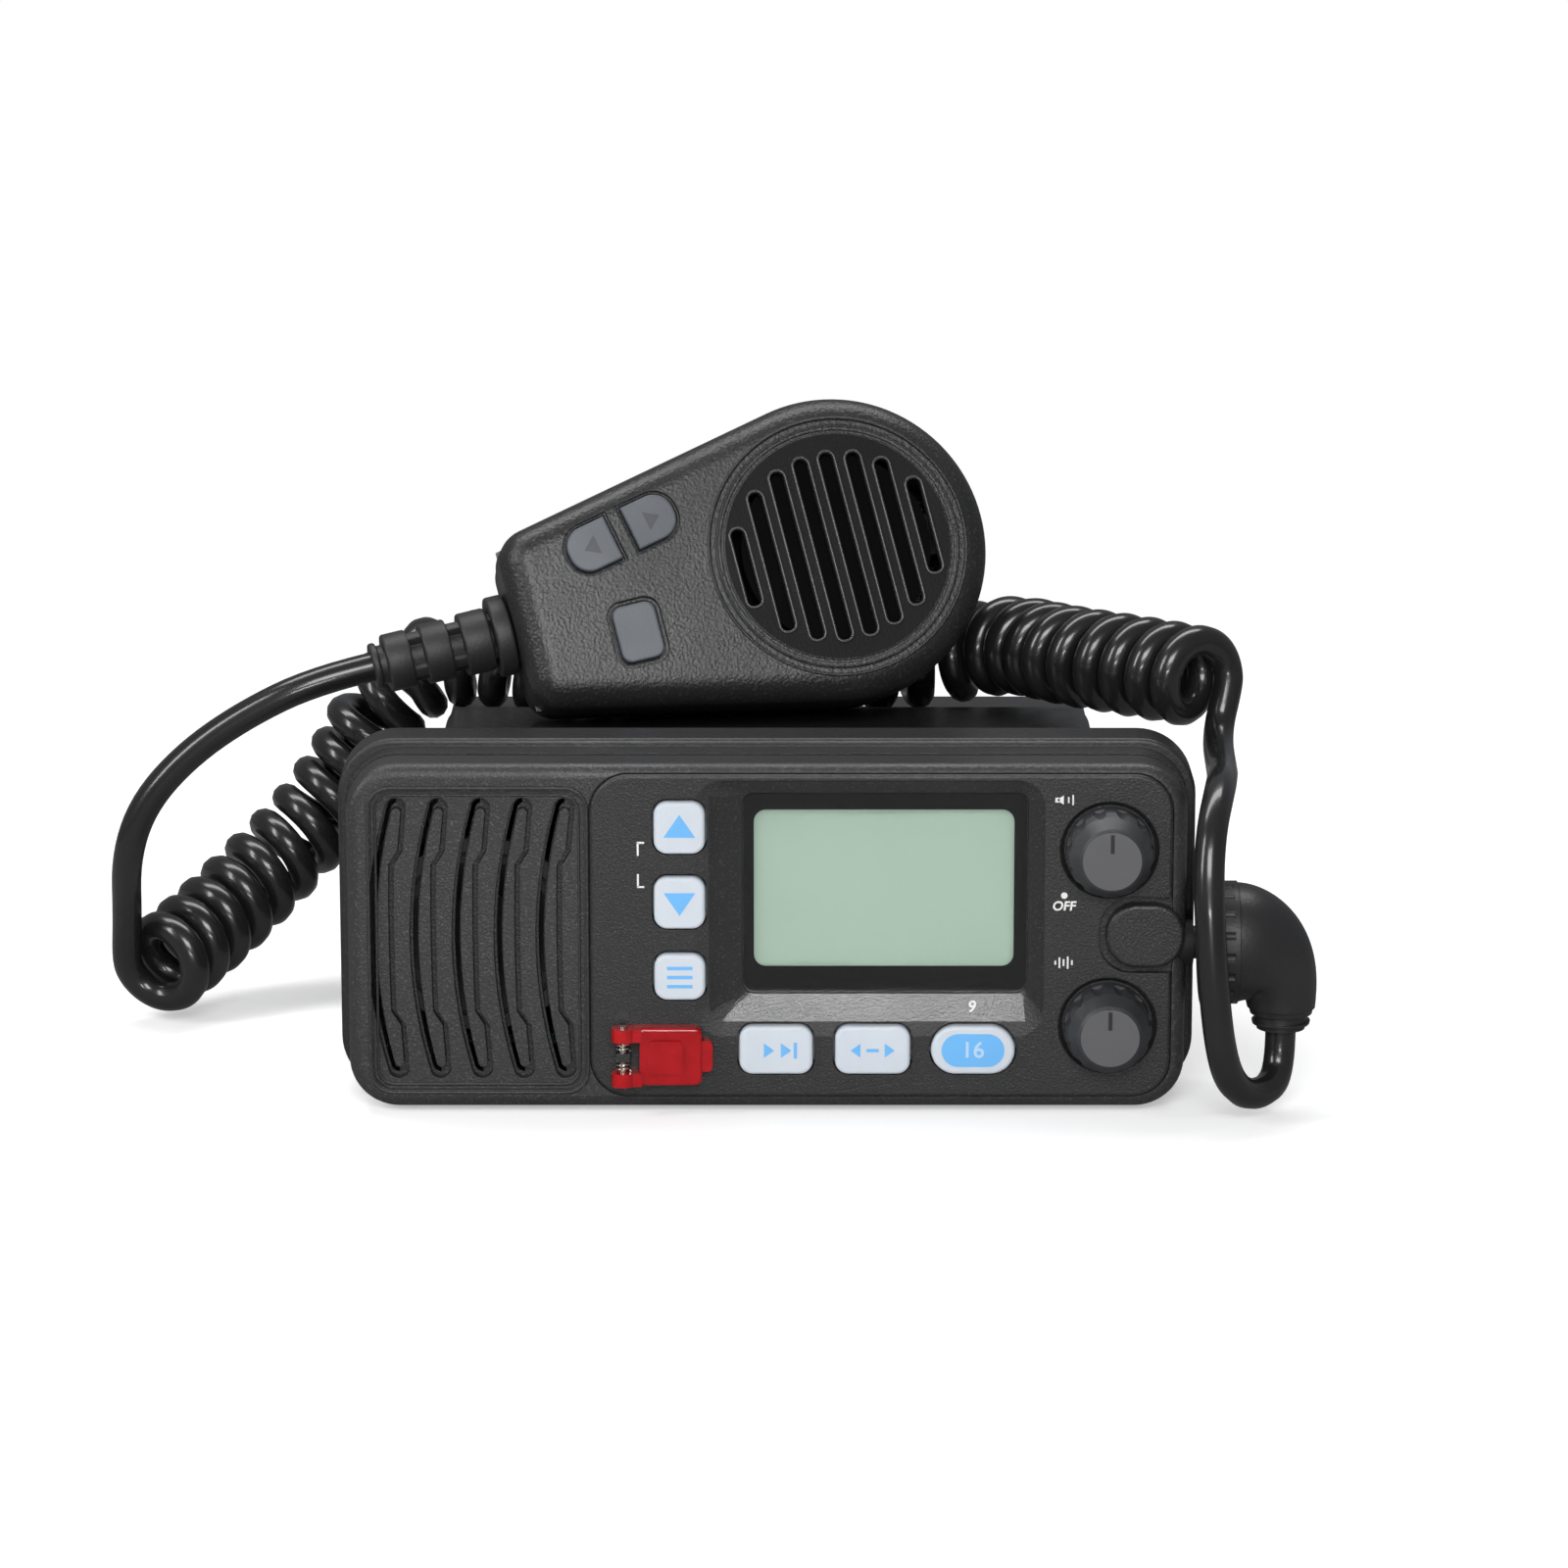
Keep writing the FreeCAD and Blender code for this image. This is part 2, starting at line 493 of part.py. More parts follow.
# Volume and squelch: the control and its bushing, nut, seal and fluted knob.
pot_front = WALL_BACK + 0.1
nut_y = FRONT + size.knob_dish_sink
controls = []
nuts = []
for name, z in KNOBS.items():
    centre = Vector(size.knob_x, 0, z)

    def at(y):
        return Vector(size.knob_x, y, z)

    half_pot = size.pot_size / 2
    can = brick((size.knob_x - half_pot, size.knob_x + half_pot),
                (pot_front, pot_front + size.pot_depth - 0.6),
                (z - half_pot, z + half_pot))
    bushing = bar(size.bush_radius, at(nut_y - 1.9), at(pot_front))
    control = can.fuse(bushing).cut(bar(size.shaft_radius + size.fit_gap, at(nut_y - 4),
                                        at(pot_front + 2.1)))
    controls.append(control.removeSplitter())
    nut = bar(size.bush_radius + 1.4, at(nut_y - 1.5), at(nut_y - 0.02))
    nut = nut.cut(bar(size.bush_radius + 0.02, at(nut_y - 3), at(nut_y + 1)))
    nuts.append(nut)
    tip = FRONT - size.knob_front
    skirt_back = nut_y - 0.3
    profile = [Vector(0, tip, 0), Vector(size.knob_top_radius - 0.8, tip, 0),
               Vector(size.knob_top_radius, tip + 0.6, 0),
               Vector(size.knob_radius - 0.5, tip + 3.4, 0),
               Vector(size.knob_radius, tip + 5, 0),
               Vector(size.knob_radius, skirt_back, 0),
               Vector(size.bush_radius + 2, skirt_back, 0),
               Vector(size.bush_radius + 2, nut_y - 3, 0), Vector(0, nut_y - 3, 0),
               Vector(0, tip, 0)]
    body = Part.Face(Part.makePolygon(profile)).revolve(Vector(), Vector(0, 1, 0), 360)
    flutes = []
    for k in range(int(size.knob_flutes)):
        angle = 2 * math.pi * (k + 0.5) / size.knob_flutes
        reach = size.knob_radius + 0.9
        spot = Vector(reach * math.cos(angle), tip - 1, reach * math.sin(angle))
        flutes.append(bar(1.5, spot, Vector(spot.x, skirt_back - 1.6, spot.z)))
    pointer = brick((-0.45, 0.45), (tip - 1, tip + 0.4), (1.4, size.knob_radius))
    body = body.cut(flutes + [pointer])
    stem = bar(size.shaft_radius, Vector(0, nut_y - 3.2, 0), Vector(0, pot_front + 2, 0))
    knob = body.fuse(stem)
    knob.translate(centre)
    solid(name + "_knob", knob.removeSplitter())
solid("knob_controls", Part.makeCompound(controls))
solid("knob_nuts", Part.makeCompound(nuts))

# Distress lid: a shallow red cup on two knuckles, its steel pin and springs.
lid_left = size.hinge_x + 3
lid_back = FRONT - 0.25
lid_front = FRONT - size.lid_rise
lid = tablet((size.hinge_x + 0.4, size.lid_right), (lid_front, lid_back),
             (size.lid_low, size.lid_high), 1.4)
lid_round = [edge for edge in lid.Edges if edge.CenterOfMass.y < lid_front + ROUND_OFF]
lid = lid.makeFillet(0.6, lid_round)
lid = lid.cut(brick((size.hinge_x, lid_left), (FRONT - 10, FRONT), (size.lid_low
                                                                  + size.knuckle_length,
                                                                  size.lid_high
                                                                  - size.knuckle_length)))
lid = lid.cut(brick((lid_left + size.lid_wall, size.lid_right - size.lid_wall),
                    (lid_front + size.lid_wall, FRONT),
                    (size.lid_low + size.lid_wall, size.lid_high - size.lid_wall)))
raised = tablet((size.distress_x - 3.2, size.distress_x + 3), (lid_front - 0.5, lid_front + 0.5),
                (distress_z - 3.1, distress_z + 3.1), 1)
tab = tablet((size.lid_right - 0.5, size.lid_right + 1.9), (lid_front + 0.6, lid_back),
             (distress_z - 2.9, distress_z + 2.9), 1)
knuckles = []
for low in (size.lid_low, size.lid_high - size.knuckle_length):
    knuckles.append(bar(size.knuckle_radius, Vector(size.hinge_x, hinge_y, low),
                        Vector(size.hinge_x, hinge_y, low + size.knuckle_length)))
    knuckles.append(brick((size.hinge_x, lid_left + 0.4), (hinge_y - 1.2, hinge_y + 1.2),
                          (low, low + size.knuckle_length)))
pin_bore = bar(size.pin_radius + size.fit_gap, *pin_ends)
lid = joined(lid, raised, tab, *knuckles).cut(pin_bore)
solid("distress_lid", lid)
node("lid_pin", rod("lid_pin", "pin_radius", "lid_high - lid_low + 0.6",
                    ("hinge_x", "-case_depth / 2 - hinge_y", "lid_low - 0.3"), "z"))


def biarc(start, way_in, end, way_out):
    """Two tangent arcs between two points with given directions."""
    chord = end - start
    sum_way = way_in + way_out
    fall = 2 * (way_in.dot(way_out) - 1)
    along = chord.dot(sum_way)
    if abs(fall) < 1e-9:
        reach = chord.dot(chord) / (4 * chord.dot(way_out))
    else:
        reach = (along - math.sqrt(along * along - fall * chord.dot(chord))) / fall
    first = start + way_in * reach
    second = end - way_out * reach
    middle = (first + second) * 0.5
    edges = []
    for here, corner, there in ((start, first, middle), (middle, second, end)):
        toward = (there - here)
        side = (corner - here).Length
        half = toward.Length / 2
        base = (here + there) * 0.5
        rise = corner - base
        if rise.Length < 1e-7:
            edges.append(Part.LineSegment(here, there).toShape())
            continue
        # The arc's own middle lies on the line from the chord to the corner
        tilt = math.acos(min(1, half / side))
        height = half * math.tan(tilt / 2)
        edges.append(Part.Arc(here, base + rise * (height / rise.Length), there).toShape())
    return edges


def wound(points, ways, radius, lead):
    """Unbroken tube through points with directions, both ends run straight."""
    edges = []
    first = points[0] - ways[0] * lead
    if lead > 0:
        edges.append(Part.LineSegment(first, points[0]).toShape())
    for k in range(len(points) - 1):
        edges.extend(biarc(points[k], ways[k], points[k + 1], ways[k + 1]))
    if lead > 0:
        edges.append(Part.LineSegment(points[-1], points[-1] + ways[-1] * lead).toShape())
    wire = Part.Wire(edges)
    section = Part.Wire(Part.makeCircle(radius, first, ways[0]))
    return wire.makePipeShell([section], True, False)


# Lid springs: a torsion coil on the pin each side of the hinge post.
spring_room = (size.lid_high - size.lid_low) / 2 - size.knuckle_length - post_half
spring_turns = 2
spring_steps = 4 * spring_turns
spring_pitch = (spring_room - size.spring_wire - 0.3) / spring_turns
coils = []
for start_z in (distress_z + post_half + 0.15, distress_z - post_half - spring_room + 0.15):
    points = []
    ways = []
    for k in range(spring_steps + 1):
        angle = k * math.pi / 2
        points.append(Vector(size.hinge_x + size.spring_radius * math.cos(angle),
                             hinge_y + size.spring_radius * math.sin(angle),
                             start_z + size.spring_wire / 2 + spring_pitch * k / 4))
        way = Vector(-size.spring_radius * math.sin(angle), size.spring_radius * math.cos(angle),
                     spring_pitch / (2 * math.pi))
        ways.append(way.normalize())
    coils.append(wound(points, ways, size.spring_wire / 2, 0))
print("lid spring gap", round(spring_pitch - size.spring_wire, 3))
solid("lid_spring", Part.makeCompound(coils))

# Gasket between the front panel and the die-cast chassis.
seal_half = half_panel - size.seal_inset
seal = tablet((-seal_half, seal_half), (PANEL_BACK, SEAL_BACK),
              (size.panel_lift + size.seal_inset, panel_top - size.seal_inset),
              size.panel_round - size.seal_inset)
seal_inner_half = seal_half - size.seal_band
seal_inner = tablet((-seal_inner_half, seal_inner_half), (PANEL_BACK - 1, SEAL_BACK + 1),
                    (seal_inner_low, seal_inner_high),
                    size.panel_round - size.seal_inset - size.seal_band)
solid("panel_seal", seal.cut(seal_inner))

# Chassis: die-cast tub with the front flange, the wide rim, the flat top, the
# lower heat-sink deck with fins at the rear, and a boss on each side.
half_case = size.case_width / 2
flange_half = half_case - size.flange_inset
flange = tablet((-flange_half, flange_half), (SEAL_BACK, RIM_FRONT + 1),
                (size.panel_lift, size.case_height - size.flange_inset + 0.3),
                size.rim_round - 1)
rim = tablet((-half_case, half_case), (RIM_FRONT, RIM_BACK), (0, size.case_height),
             size.rim_round)
rim = rim.makeFillet(0.8, faces_to(rim, Vector(0, -1, 0), -RIM_FRONT))
rim = rim.makeFillet(0.8, faces_to(rim, Vector(0, 1, 0), RIM_BACK))
half_tub = size.chassis_width / 2
tub = tablet((-half_tub, half_tub), (RIM_BACK - 1, REAR), (0, size.plateau_height), 4)
deck_cut = brick((-half_tub - 1, half_tub + 1), (size.plateau_end, REAR + 1),
                 (size.deck_height, size.plateau_height + 1))
step_foot = [edge for edge in deck_cut.Edges
             if abs(edge.CenterOfMass.y - size.plateau_end) < ROUND_OFF
             and abs(edge.CenterOfMass.z - size.deck_height) < ROUND_OFF]
tub = tub.cut(deck_cut.makeFillet(1.6, step_foot))
fins = []
fin_count = int((size.chassis_width - 2 * size.fin_pitch) / size.fin_pitch)
for k in range(fin_count + 1):
    x = (k - fin_count / 2) * size.fin_pitch
    if abs(x - size.antenna_x) < 16 or abs(x + size.antenna_x) < 17:
        continue
    fins.append(brick((x - size.fin_slot / 2, x + size.fin_slot / 2),
                      (REAR - size.fin_depth, REAR + 1), (4, size.deck_height + 1)))
mouth = tablet((-seal_inner_half, seal_inner_half),
               (SEAL_BACK - 1, RIM_BACK - size.chassis_wall),
               (seal_inner_low, seal_inner_high), 4)
cavity_front = tablet((-half_tub + size.chassis_wall, half_tub - size.chassis_wall),
                      (SEAL_BACK - 1, size.plateau_end - size.chassis_wall),
                      (size.chassis_wall, size.plateau_height - size.chassis_wall), 2)
cavity_rear = brick((-half_tub + size.chassis_wall, half_tub - size.chassis_wall),
                    (0, REAR - size.fin_depth - size.chassis_wall),
                    (size.chassis_wall, size.deck_height - size.chassis_wall))
side_bosses = []
side_bores = []
for side in (-1, 1):
    root_x = side * (half_tub - 1)
    face_x = side * (half_tub + size.bracket_rise)
    side_bosses.append(bar(size.bracket_boss, Vector(root_x, size.bracket_y, size.bracket_z),
                           Vector(face_x, size.bracket_y, size.bracket_z)))
    side_bosses.append(bar(size.bracket_boss - 2, Vector(side * (half_tub - size.bracket_depth),
                                                         size.bracket_y, size.bracket_z),
                           Vector(root_x, size.bracket_y, size.bracket_z)))
    side_bores.append(bar(size.bracket_bore,
                          Vector(face_x - side * size.bracket_depth, size.bracket_y,
                                 size.bracket_z),
                          Vector(face_x + side, size.bracket_y, size.bracket_z)))
antenna_spot = Vector(size.antenna_x, REAR, size.antenna_z)
gland_spot = Vector(-size.antenna_x, REAR, size.antenna_z)
antenna_hole = bar(6.2, antenna_spot - Vector(0, 20, 0), antenna_spot + Vector(0, 1, 0))
gland_hole = bar(4.2, gland_spot - Vector(0, 20, 0), gland_spot + Vector(0, 1, 0))
chassis = joined(flange, rim, tub).cut([mouth, cavity_front, cavity_rear] + fins)
chassis = chassis.fuse(side_bosses).cut(side_bores + [antenna_hole, gland_hole])
case_screw_spots = []
for x in (-1, 1):
    for z in (9, size.deck_height - 8):
        case_screw_spots.append(Vector(x * (half_tub - 7), REAR, z))
screw_holes = [bar(1.6, spot - Vector(0, 6, 0), spot + Vector(0, 1, 0))
               for spot in case_screw_spots]
solid("chassis", chassis.cut(screw_holes).removeSplitter())


def screw(spot, way, shank, head, head_high, length):
    """Pan-head screw with a cross recess; spot is under its head."""
    body = bar(head, spot, spot + way * head_high)
    rim_edges = [edge for edge in body.Edges
                 if (edge.CenterOfMass - spot).dot(way) > head_high - ROUND_OFF]
    body = body.makeFillet(head_high * 0.4, rim_edges)
    body = body.fuse(bar(shank, spot - way * length, spot + way * 0.1))
    side = way.cross(Vector(1, 0, 0.3)).normalize()
    other = way.cross(side)
    for a, b in ((side, other), (other, side)):
        slot = Part.makeBox(head * 1.1, head * 0.24, head_high * 0.6)
        slot.translate(Vector(-head * 0.55, -head * 0.12, 0))
        turn = Rotation(a, b, way, "XYZ")
        slot.Placement = Placement(spot + way * (head_high * 0.5), turn).multiply(slot.Placement)
        body = body.cut(slot)
    return body


rear_way = Vector(0, 1, 0)
solid("case_screws", Part.makeCompound([screw(spot, rear_way, 1.45, 2.9, 1.8, 5)
                                        for spot in case_screw_spots]))

# Boards and power stage inside the chassis.
board_z = size.chassis_wall + 5
boards = brick((-half_tub + 6, half_tub - 9), (RIM_BACK - 6, 38),
               (board_z, board_z + size.board_thick))
stand_offs = []
stand_holes = []
STAND_SPOTS = [(x, y) for x in (-51, 48) for y in (-30, 30)]
for x, y in STAND_SPOTS:
    stand_offs.append(bar(3, Vector(x, y, size.chassis_wall), Vector(x, y, board_z)))
    stand_holes.append(bar(1.3, Vector(x, y, board_z - 4.6), Vector(x, y, board_z + 5)))
solid("main_board", boards.cut(stand_holes))
solid("board_standoffs", Part.makeCompound(stand_offs).cut(stand_holes))
solid("board_screws", Part.makeCompound([
    screw(Vector(x, y, board_z + size.board_thick), Vector(0, 0, 1), 1.2, 2.3, 1.5, 5)
    for x, y in STAND_SPOTS]))
can_low = board_z + size.board_thick
shield = tablet((-40, 12), (-24, 14), (can_low, can_low + 12), 1)
shield = shield.cut(brick((-39.4, 11.4), (-23.4, 13.4), (can_low - 1, can_low + 11.4)))
solid("rf_shield", shield)
module = brick((18, 40), (10, 34), (can_low, can_low + 8))
solid("power_module", module.fuse(brick((14, 44), (12, 32), (can_low, can_low + 2.4))))

# Antenna socket on the rear: flanged barrel, insulator and centre contact.
barrel_end = antenna_spot + Vector(0, size.antenna_length, 0)
barrel = bar(size.antenna_radius, antenna_spot + Vector(0, 2, 0), barrel_end)
flange_plate = tablet((size.antenna_x - 12.7, size.antenna_x + 12.7), (REAR, REAR + 2.2),
                      (size.antenna_z - 12.7, size.antenna_z + 12.7), 2)
socket = flange_plate.fuse(barrel).fuse(bar(6, antenna_spot - Vector(0, 6, 0),
                                            antenna_spot + Vector(0, 1, 0)))
insulator_bore = bar(5.2, antenna_spot - Vector(0, 7, 0), barrel_end + Vector(0, 1, 0))
socket = socket.cut(insulator_bore)
flange_spots = [antenna_spot + Vector(x * 9.4, 2.2, z * 9.4) for x in (-1, 1) for z in (-1, 1)]
flange_bores = [bar(1.5, spot - Vector(0, 3, 0), spot + Vector(0, 1, 0)) for spot in flange_spots]
solid("antenna_socket", socket.cut(flange_bores))
insulator = bar(5.15, antenna_spot - Vector(0, 5, 0), barrel_end - Vector(0, 3, 0))
contact_bore = bar(1.9, antenna_spot - Vector(0, 6, 0), barrel_end)
solid("antenna_insulator", insulator.cut(contact_bore))
contact = bar(1.88, antenna_spot - Vector(0, 9, 0), barrel_end - Vector(0, 2, 0))
solid("antenna_contact", contact.cut(bar(1.1, barrel_end - Vector(0, 9, 0), barrel_end)))

# Rear glands: power lead inlet and accessory lead inlet, and the earth screw.
def gland(spot, radius, length):
    nut_body = bar(radius, spot, spot + Vector(0, 4, 0))
    nose = Part.makeCone(radius * 0.9, radius * 0.62, length - 4, spot + Vector(0, 4, 0),
                         Vector(0, 1, 0))
    bore = bar(radius * 0.23, spot - Vector(0, 1, 0), spot + Vector(0, length + 1, 0))
    return nut_body.fuse(nose).fuse(bar(4.1, spot - Vector(0, 3, 0), spot)).cut(bore)


solid("power_gland", gland(gland_spot, 8, 14).removeSplitter())
earth_spot = Vector(0, REAR, 14)
solid("earth_screw", screw(Vector(0, REAR + 0.02, 14), rear_way, 1.9, 3.6, 2.4, 0.01).fuse(
    bar(4.4, earth_spot + Vector(0, 0.02, 0), earth_spot + Vector(0, 0.9, 0))))

# Microphone socket in the panel's right side, and the plug that fills it.
socket_x = half_panel
ring_outer = bar(size.plug_neck_radius + size.socket_wall - 0.03,
                 Vector(socket_x - 11.9, plug_y, size.plug_z),
                 Vector(socket_x + 1.4, plug_y, size.plug_z))
ring_inner = bar(size.plug_neck_radius + 0.05, Vector(socket_x - 9, plug_y, size.plug_z),
                 Vector(socket_x + 3, plug_y, size.plug_z))
contacts = []
for k in range(7):
    angle = 2 * math.pi * k / 7
    y = plug_y + 2.3 * math.cos(angle)
    z = size.plug_z + 2.3 * math.sin(angle)
    contacts.append(bar(0.4, Vector(socket_x - 9.5, y, z), Vector(socket_x - 5, y, z)))
solid("mic_socket", ring_outer.cut(ring_inner).fuse(contacts))
neck_far = Vector(socket_x - 4.8, plug_y, size.plug_z)
plug_near = Vector(size.plug_start, plug_y, size.plug_z)
plug_far = Vector(size.plug_start + size.plug_body_length, plug_y, size.plug_z)
collar = bar(size.plug_radius, plug_near, plug_far)
grooves = []
for k in range(18):
    angle = 2 * math.pi * k / 18
    y = plug_y + (size.plug_radius + 0.5) * math.cos(angle)
    z = size.plug_z + (size.plug_radius + 0.5) * math.sin(angle)
    grooves.append(bar(0.9, Vector(size.plug_start + 1, y, z),
                       Vector(size.plug_start + size.plug_body_length - 1, y, z)))
neck = bar(size.plug_neck_radius, neck_far, plug_near + Vector(0.5, 0, 0))
solid("plug_collar", collar.cut(grooves).fuse(neck).removeSplitter())
HOOD_SECTIONS = [((0, 0), 10.9, (1, 0)), ((3.4, -0.4), 10.2, (1, -0.15)),
                 ((6.6, -3.4), 8.6, (0.8, -0.6)), ((7.9, -8), 6.9, (0.2, -0.98)),
                 ((8.3, -12), 6.2, (0, -1))]
hood_start_x = size.plug_start + size.plug_body_length
wires = []
for (dx, dz), radius, (ax, az) in HOOD_SECTIONS:
    spot = Vector(hood_start_x + dx, plug_y, size.plug_z + dz)
    wires.append(Part.Wire(Part.makeCircle(radius, spot, Vector(ax, 0, az))))
hood = Part.makeLoft(wires, True, False)
boot_top = Vector(hood_start_x + 8.3, plug_y, size.plug_z - 12)


def ribbed(start, way, length, radius, tip_radius, ribs, depth):
    """Tapered cable boot with rings cut round it."""
    body = Part.makeCone(radius, tip_radius, length, start, way)
    cuts = []
    for k in range(ribs):
        reach = length * (k + 0.55) / ribs
        mid = radius + (tip_radius - radius) * reach / length
        spot = start + way * reach
        cuts.append(bar(mid + 2, spot, spot + way * 1.4).cut(
            bar(mid - depth, spot - way, spot + way * 3)))
    return body.cut(cuts)


plug_boot_length = size.boot_drop
solid("plug_hood", hood.fuse(ribbed(boot_top, Vector(0, 0, -1), plug_boot_length, 5.9, 5, 2,
                                   0.8)))

# Curly cord. The coil's axis is a smooth curve through the points below, and
# its turns lie almost against each other, wound left-handed. The first points
# are heights above the coil's rest on the deck, the others above the floor.
DECK_AXIS = [(81.1, -18.0, 9.7), (68.5, -4.8, 9.3), (57.0, 9.0, 8.3), (47.0, 29.5, 6.7),
             (33.4, 38.0, 1.9), (14.0, 36.2, 0.3), (-8.0, 35.2, 0.3), (-28.0, 34.6, 0.3),
             (-44.0, 38.0, 0.3), (-62.4, 42.4, 1.9)]
FLOOR_AXIS = [(-74.6, 43.4, 57.4), (-80.6, 41.6, 44.4), (-88.8, 37.6, 33.0),
              (-99.2, 29.8, 23.4), (-109.0, 18.2, 15.4), (-117.2, 5.0, 11.0)]
COIL_AXIS = [(x, y, z + size.coil_rest) for x, y, z in DECK_AXIS] + FLOOR_AXIS
axis = Part.BSplineCurve()
poles = [Vector(*point) for point in COIL_AXIS]
inner_knots = len(poles) - 2
axis.buildFromPolesMultsKnots(poles, [3] + [1] * (inner_knots - 1) + [3],
                              list(range(inner_knots + 1)), False, 2)
wire_radius = size.cord_diameter / 2
mean_radius = (size.coil_diameter - size.cord_diameter) / 2
axis_length = axis.length()
STEPS_PER_TURN = 4
AXIS_STEPS = 1200


def axis_frame(distance):
    """Point of the coil's axis with two square directions that don't twist much."""
    spot_on = axis.parameterAtDistance(distance, axis.FirstParameter)
    spot = axis.value(spot_on)
    ahead = Vector(*axis.tangent(spot_on)[0]).normalize()
    side = ahead.cross(Vector(0, 0, 1)).normalize()
    return spot, side, side.cross(ahead).normalize()


# Where the axis bends, the turns touch on the inside and fan out on the
# outside, so the winding slows down in step with the bend.
START_ANGLE = math.radians(-20)
END_ANGLE = math.radians(15)
bend = [axis.curvature(axis.parameterAtDistance(axis_length * (k + 0.5) / AXIS_STEPS,
                                                axis.FirstParameter))
        for k in range(AXIS_STEPS)]
BEND_COUNT = 24
smooth_bend = [sum(bend[max(0, k - BEND_COUNT):k + BEND_COUNT + 1])
               / len(bend[max(0, k - BEND_COUNT):k + BEND_COUNT + 1])
               for k in range(AXIS_STEPS)]
close_pitch = size.cord_diameter + size.coil_gap
wound_so_far = [0]
for value in smooth_bend:
    share = (1 - mean_radius * value) / close_pitch
    wound_so_far.append(wound_so_far[-1] + share * axis_length / AXIS_STEPS)
whole_turns = int(wound_so_far[-1] - (END_ANGLE - START_ANGLE) / (2 * math.pi))
total_turn = 2 * math.pi * whole_turns + END_ANGLE - START_ANGLE
steps = STEPS_PER_TURN * whole_turns


def coil_point(fraction):
    """Point of the cord at a share of its whole turning."""
    target = fraction * wound_so_far[-1]
    low, high = 0, AXIS_STEPS
    while high - low > 1:
        middle = (low + high) // 2
        if wound_so_far[middle] <= target:
            low = middle
        else:
            high = middle
    part_way = (target - wound_so_far[low]) / (wound_so_far[high] - wound_so_far[low])
    spot, side, up = axis_frame(axis_length * (low + part_way) / AXIS_STEPS)
    angle = START_ANGLE + total_turn * fraction
    return spot + side * (mean_radius * math.cos(angle)) + up * (mean_radius * math.sin(angle))


NEAR_STEP = 0.00002
coil_points = []
coil_ways = []
for k in range(steps + 1):
    fraction = min(max(k / steps, NEAR_STEP), 1 - NEAR_STEP)
    here = coil_point(fraction)
    way = coil_point(fraction + NEAR_STEP) - coil_point(fraction - NEAR_STEP)
    coil_points.append(here)
    coil_ways.append(way.normalize())
coil = wound(coil_points, coil_ways, wire_radius, size.cord_diameter)
coil_start = coil_points[0] - coil_ways[0] * size.cord_diameter
coil_end = coil_points[-1] + coil_ways[-1] * size.cord_diameter
SAMPLES = 24
samples = [coil_point(k / (whole_turns * SAMPLES)) for k in range(whole_turns * SAMPLES + 1)]
least = min((samples[k] - samples[j]).Length
            for k in range(len(samples))
            for j in range(k + SAMPLES // 2, min(k + 2 * SAMPLES, len(samples))))
print("curls", whole_turns, "axis", round(axis_length, 1), "least gap to itself",
      round(least - size.cord_diameter, 3), "tightest bend share",
      round(max(smooth_bend) * mean_radius, 3))
print("coil start", coil_start, coil_ways[0], "end", coil_end, coil_ways[-1])
solid("cord_coil", coil)


def cord_tail(points, name):
    """Tube along straight runs joined by arcs as large as the runs allow."""
    edges = []
    last = points[0]
    radii = []
    length = 0
    for k in range(1, len(points) - 1):
        before = points[k] - points[k - 1]
        after = points[k + 1] - points[k]
        turn = before.getAngle(after)
        shorter = min(before.Length, after.Length)
        reach = 0.45 * shorter
        radius = reach / math.tan(turn / 2)
        radii.append(round(radius / size.cord_diameter, 1))
        arc_in = points[k] - before * (reach / before.Length)
        arc_out = points[k] + after * (reach / after.Length)
        bisector = (arc_in + arc_out) * 0.5 - points[k]
        height = radius / math.cos(turn / 2) - radius
        arc_mid = points[k] + bisector * (height / bisector.Length)
        edges.append(Part.LineSegment(last, arc_in).toShape())
        edges.append(Part.Arc(arc_in, arc_mid, arc_out).toShape())
        last = arc_out
    edges.append(Part.LineSegment(last, points[-1]).toShape())
    wire = Part.Wire(edges)
    start_way = points[1] - points[0]
    section = Part.Wire(Part.makeCircle(wire_radius, points[0], start_way))
    tube = wire.makePipeShell([section], True, False)
    expected = math.pi * wire_radius ** 2 * wire.Length
    print(name, "length", round(wire.Length, 1), "radii in diameters", radii,
          "volume share", round(tube.Volume / expected, 4))
    return tube


# Plug tail: out of the boot, round under the plug and up across the panel's
# right edge to the coil.
boot_tip = boot_top + Vector(0, 0, -plug_boot_length)
PLUG_TAIL = [(93.6, -50.2, 8.6), (91.8, -54.6, 4.8), (87.2, -59.6, 4.6), (83.4, -63.9, 8.6),
             (81.4, -66.4, 15.6), (80.0, -67.6, 26.5), (79.2, -67.0, 38.5), (78.9, -64.8, 48.5),
             (79.8, -60.6, 57.5), (81.4, -53.4, 63.2), (82.6, -43.4, 64.0), (82.8, -32.0, 59.4)]
lead_point = coil_start - coil_ways[0] * (2.3 * size.cord_diameter)
plug_tail_points = ([boot_tip] + [Vector(*point) for point in PLUG_TAIL]
                    + [lead_point, coil_start])
solid("cord_tail_plug", cord_tail(plug_tail_points, "plug tail"))

# Hand microphone, built in its own frame: x towards the head, z up, the face
# at y = 0 looking towards -y, and then leaned back on the coil.
mic_place = Placement(Vector(size.mic_x, FRONT + size.mic_y, size.mic_z),
                      Rotation(Vector(0, 0, 1), size.mic_turn)
                      * Rotation(Vector(1, 0, 0), -size.mic_lean)
                      * Rotation(Vector(0, 1, 0), -size.mic_taper))
taper = math.radians(size.mic_taper)


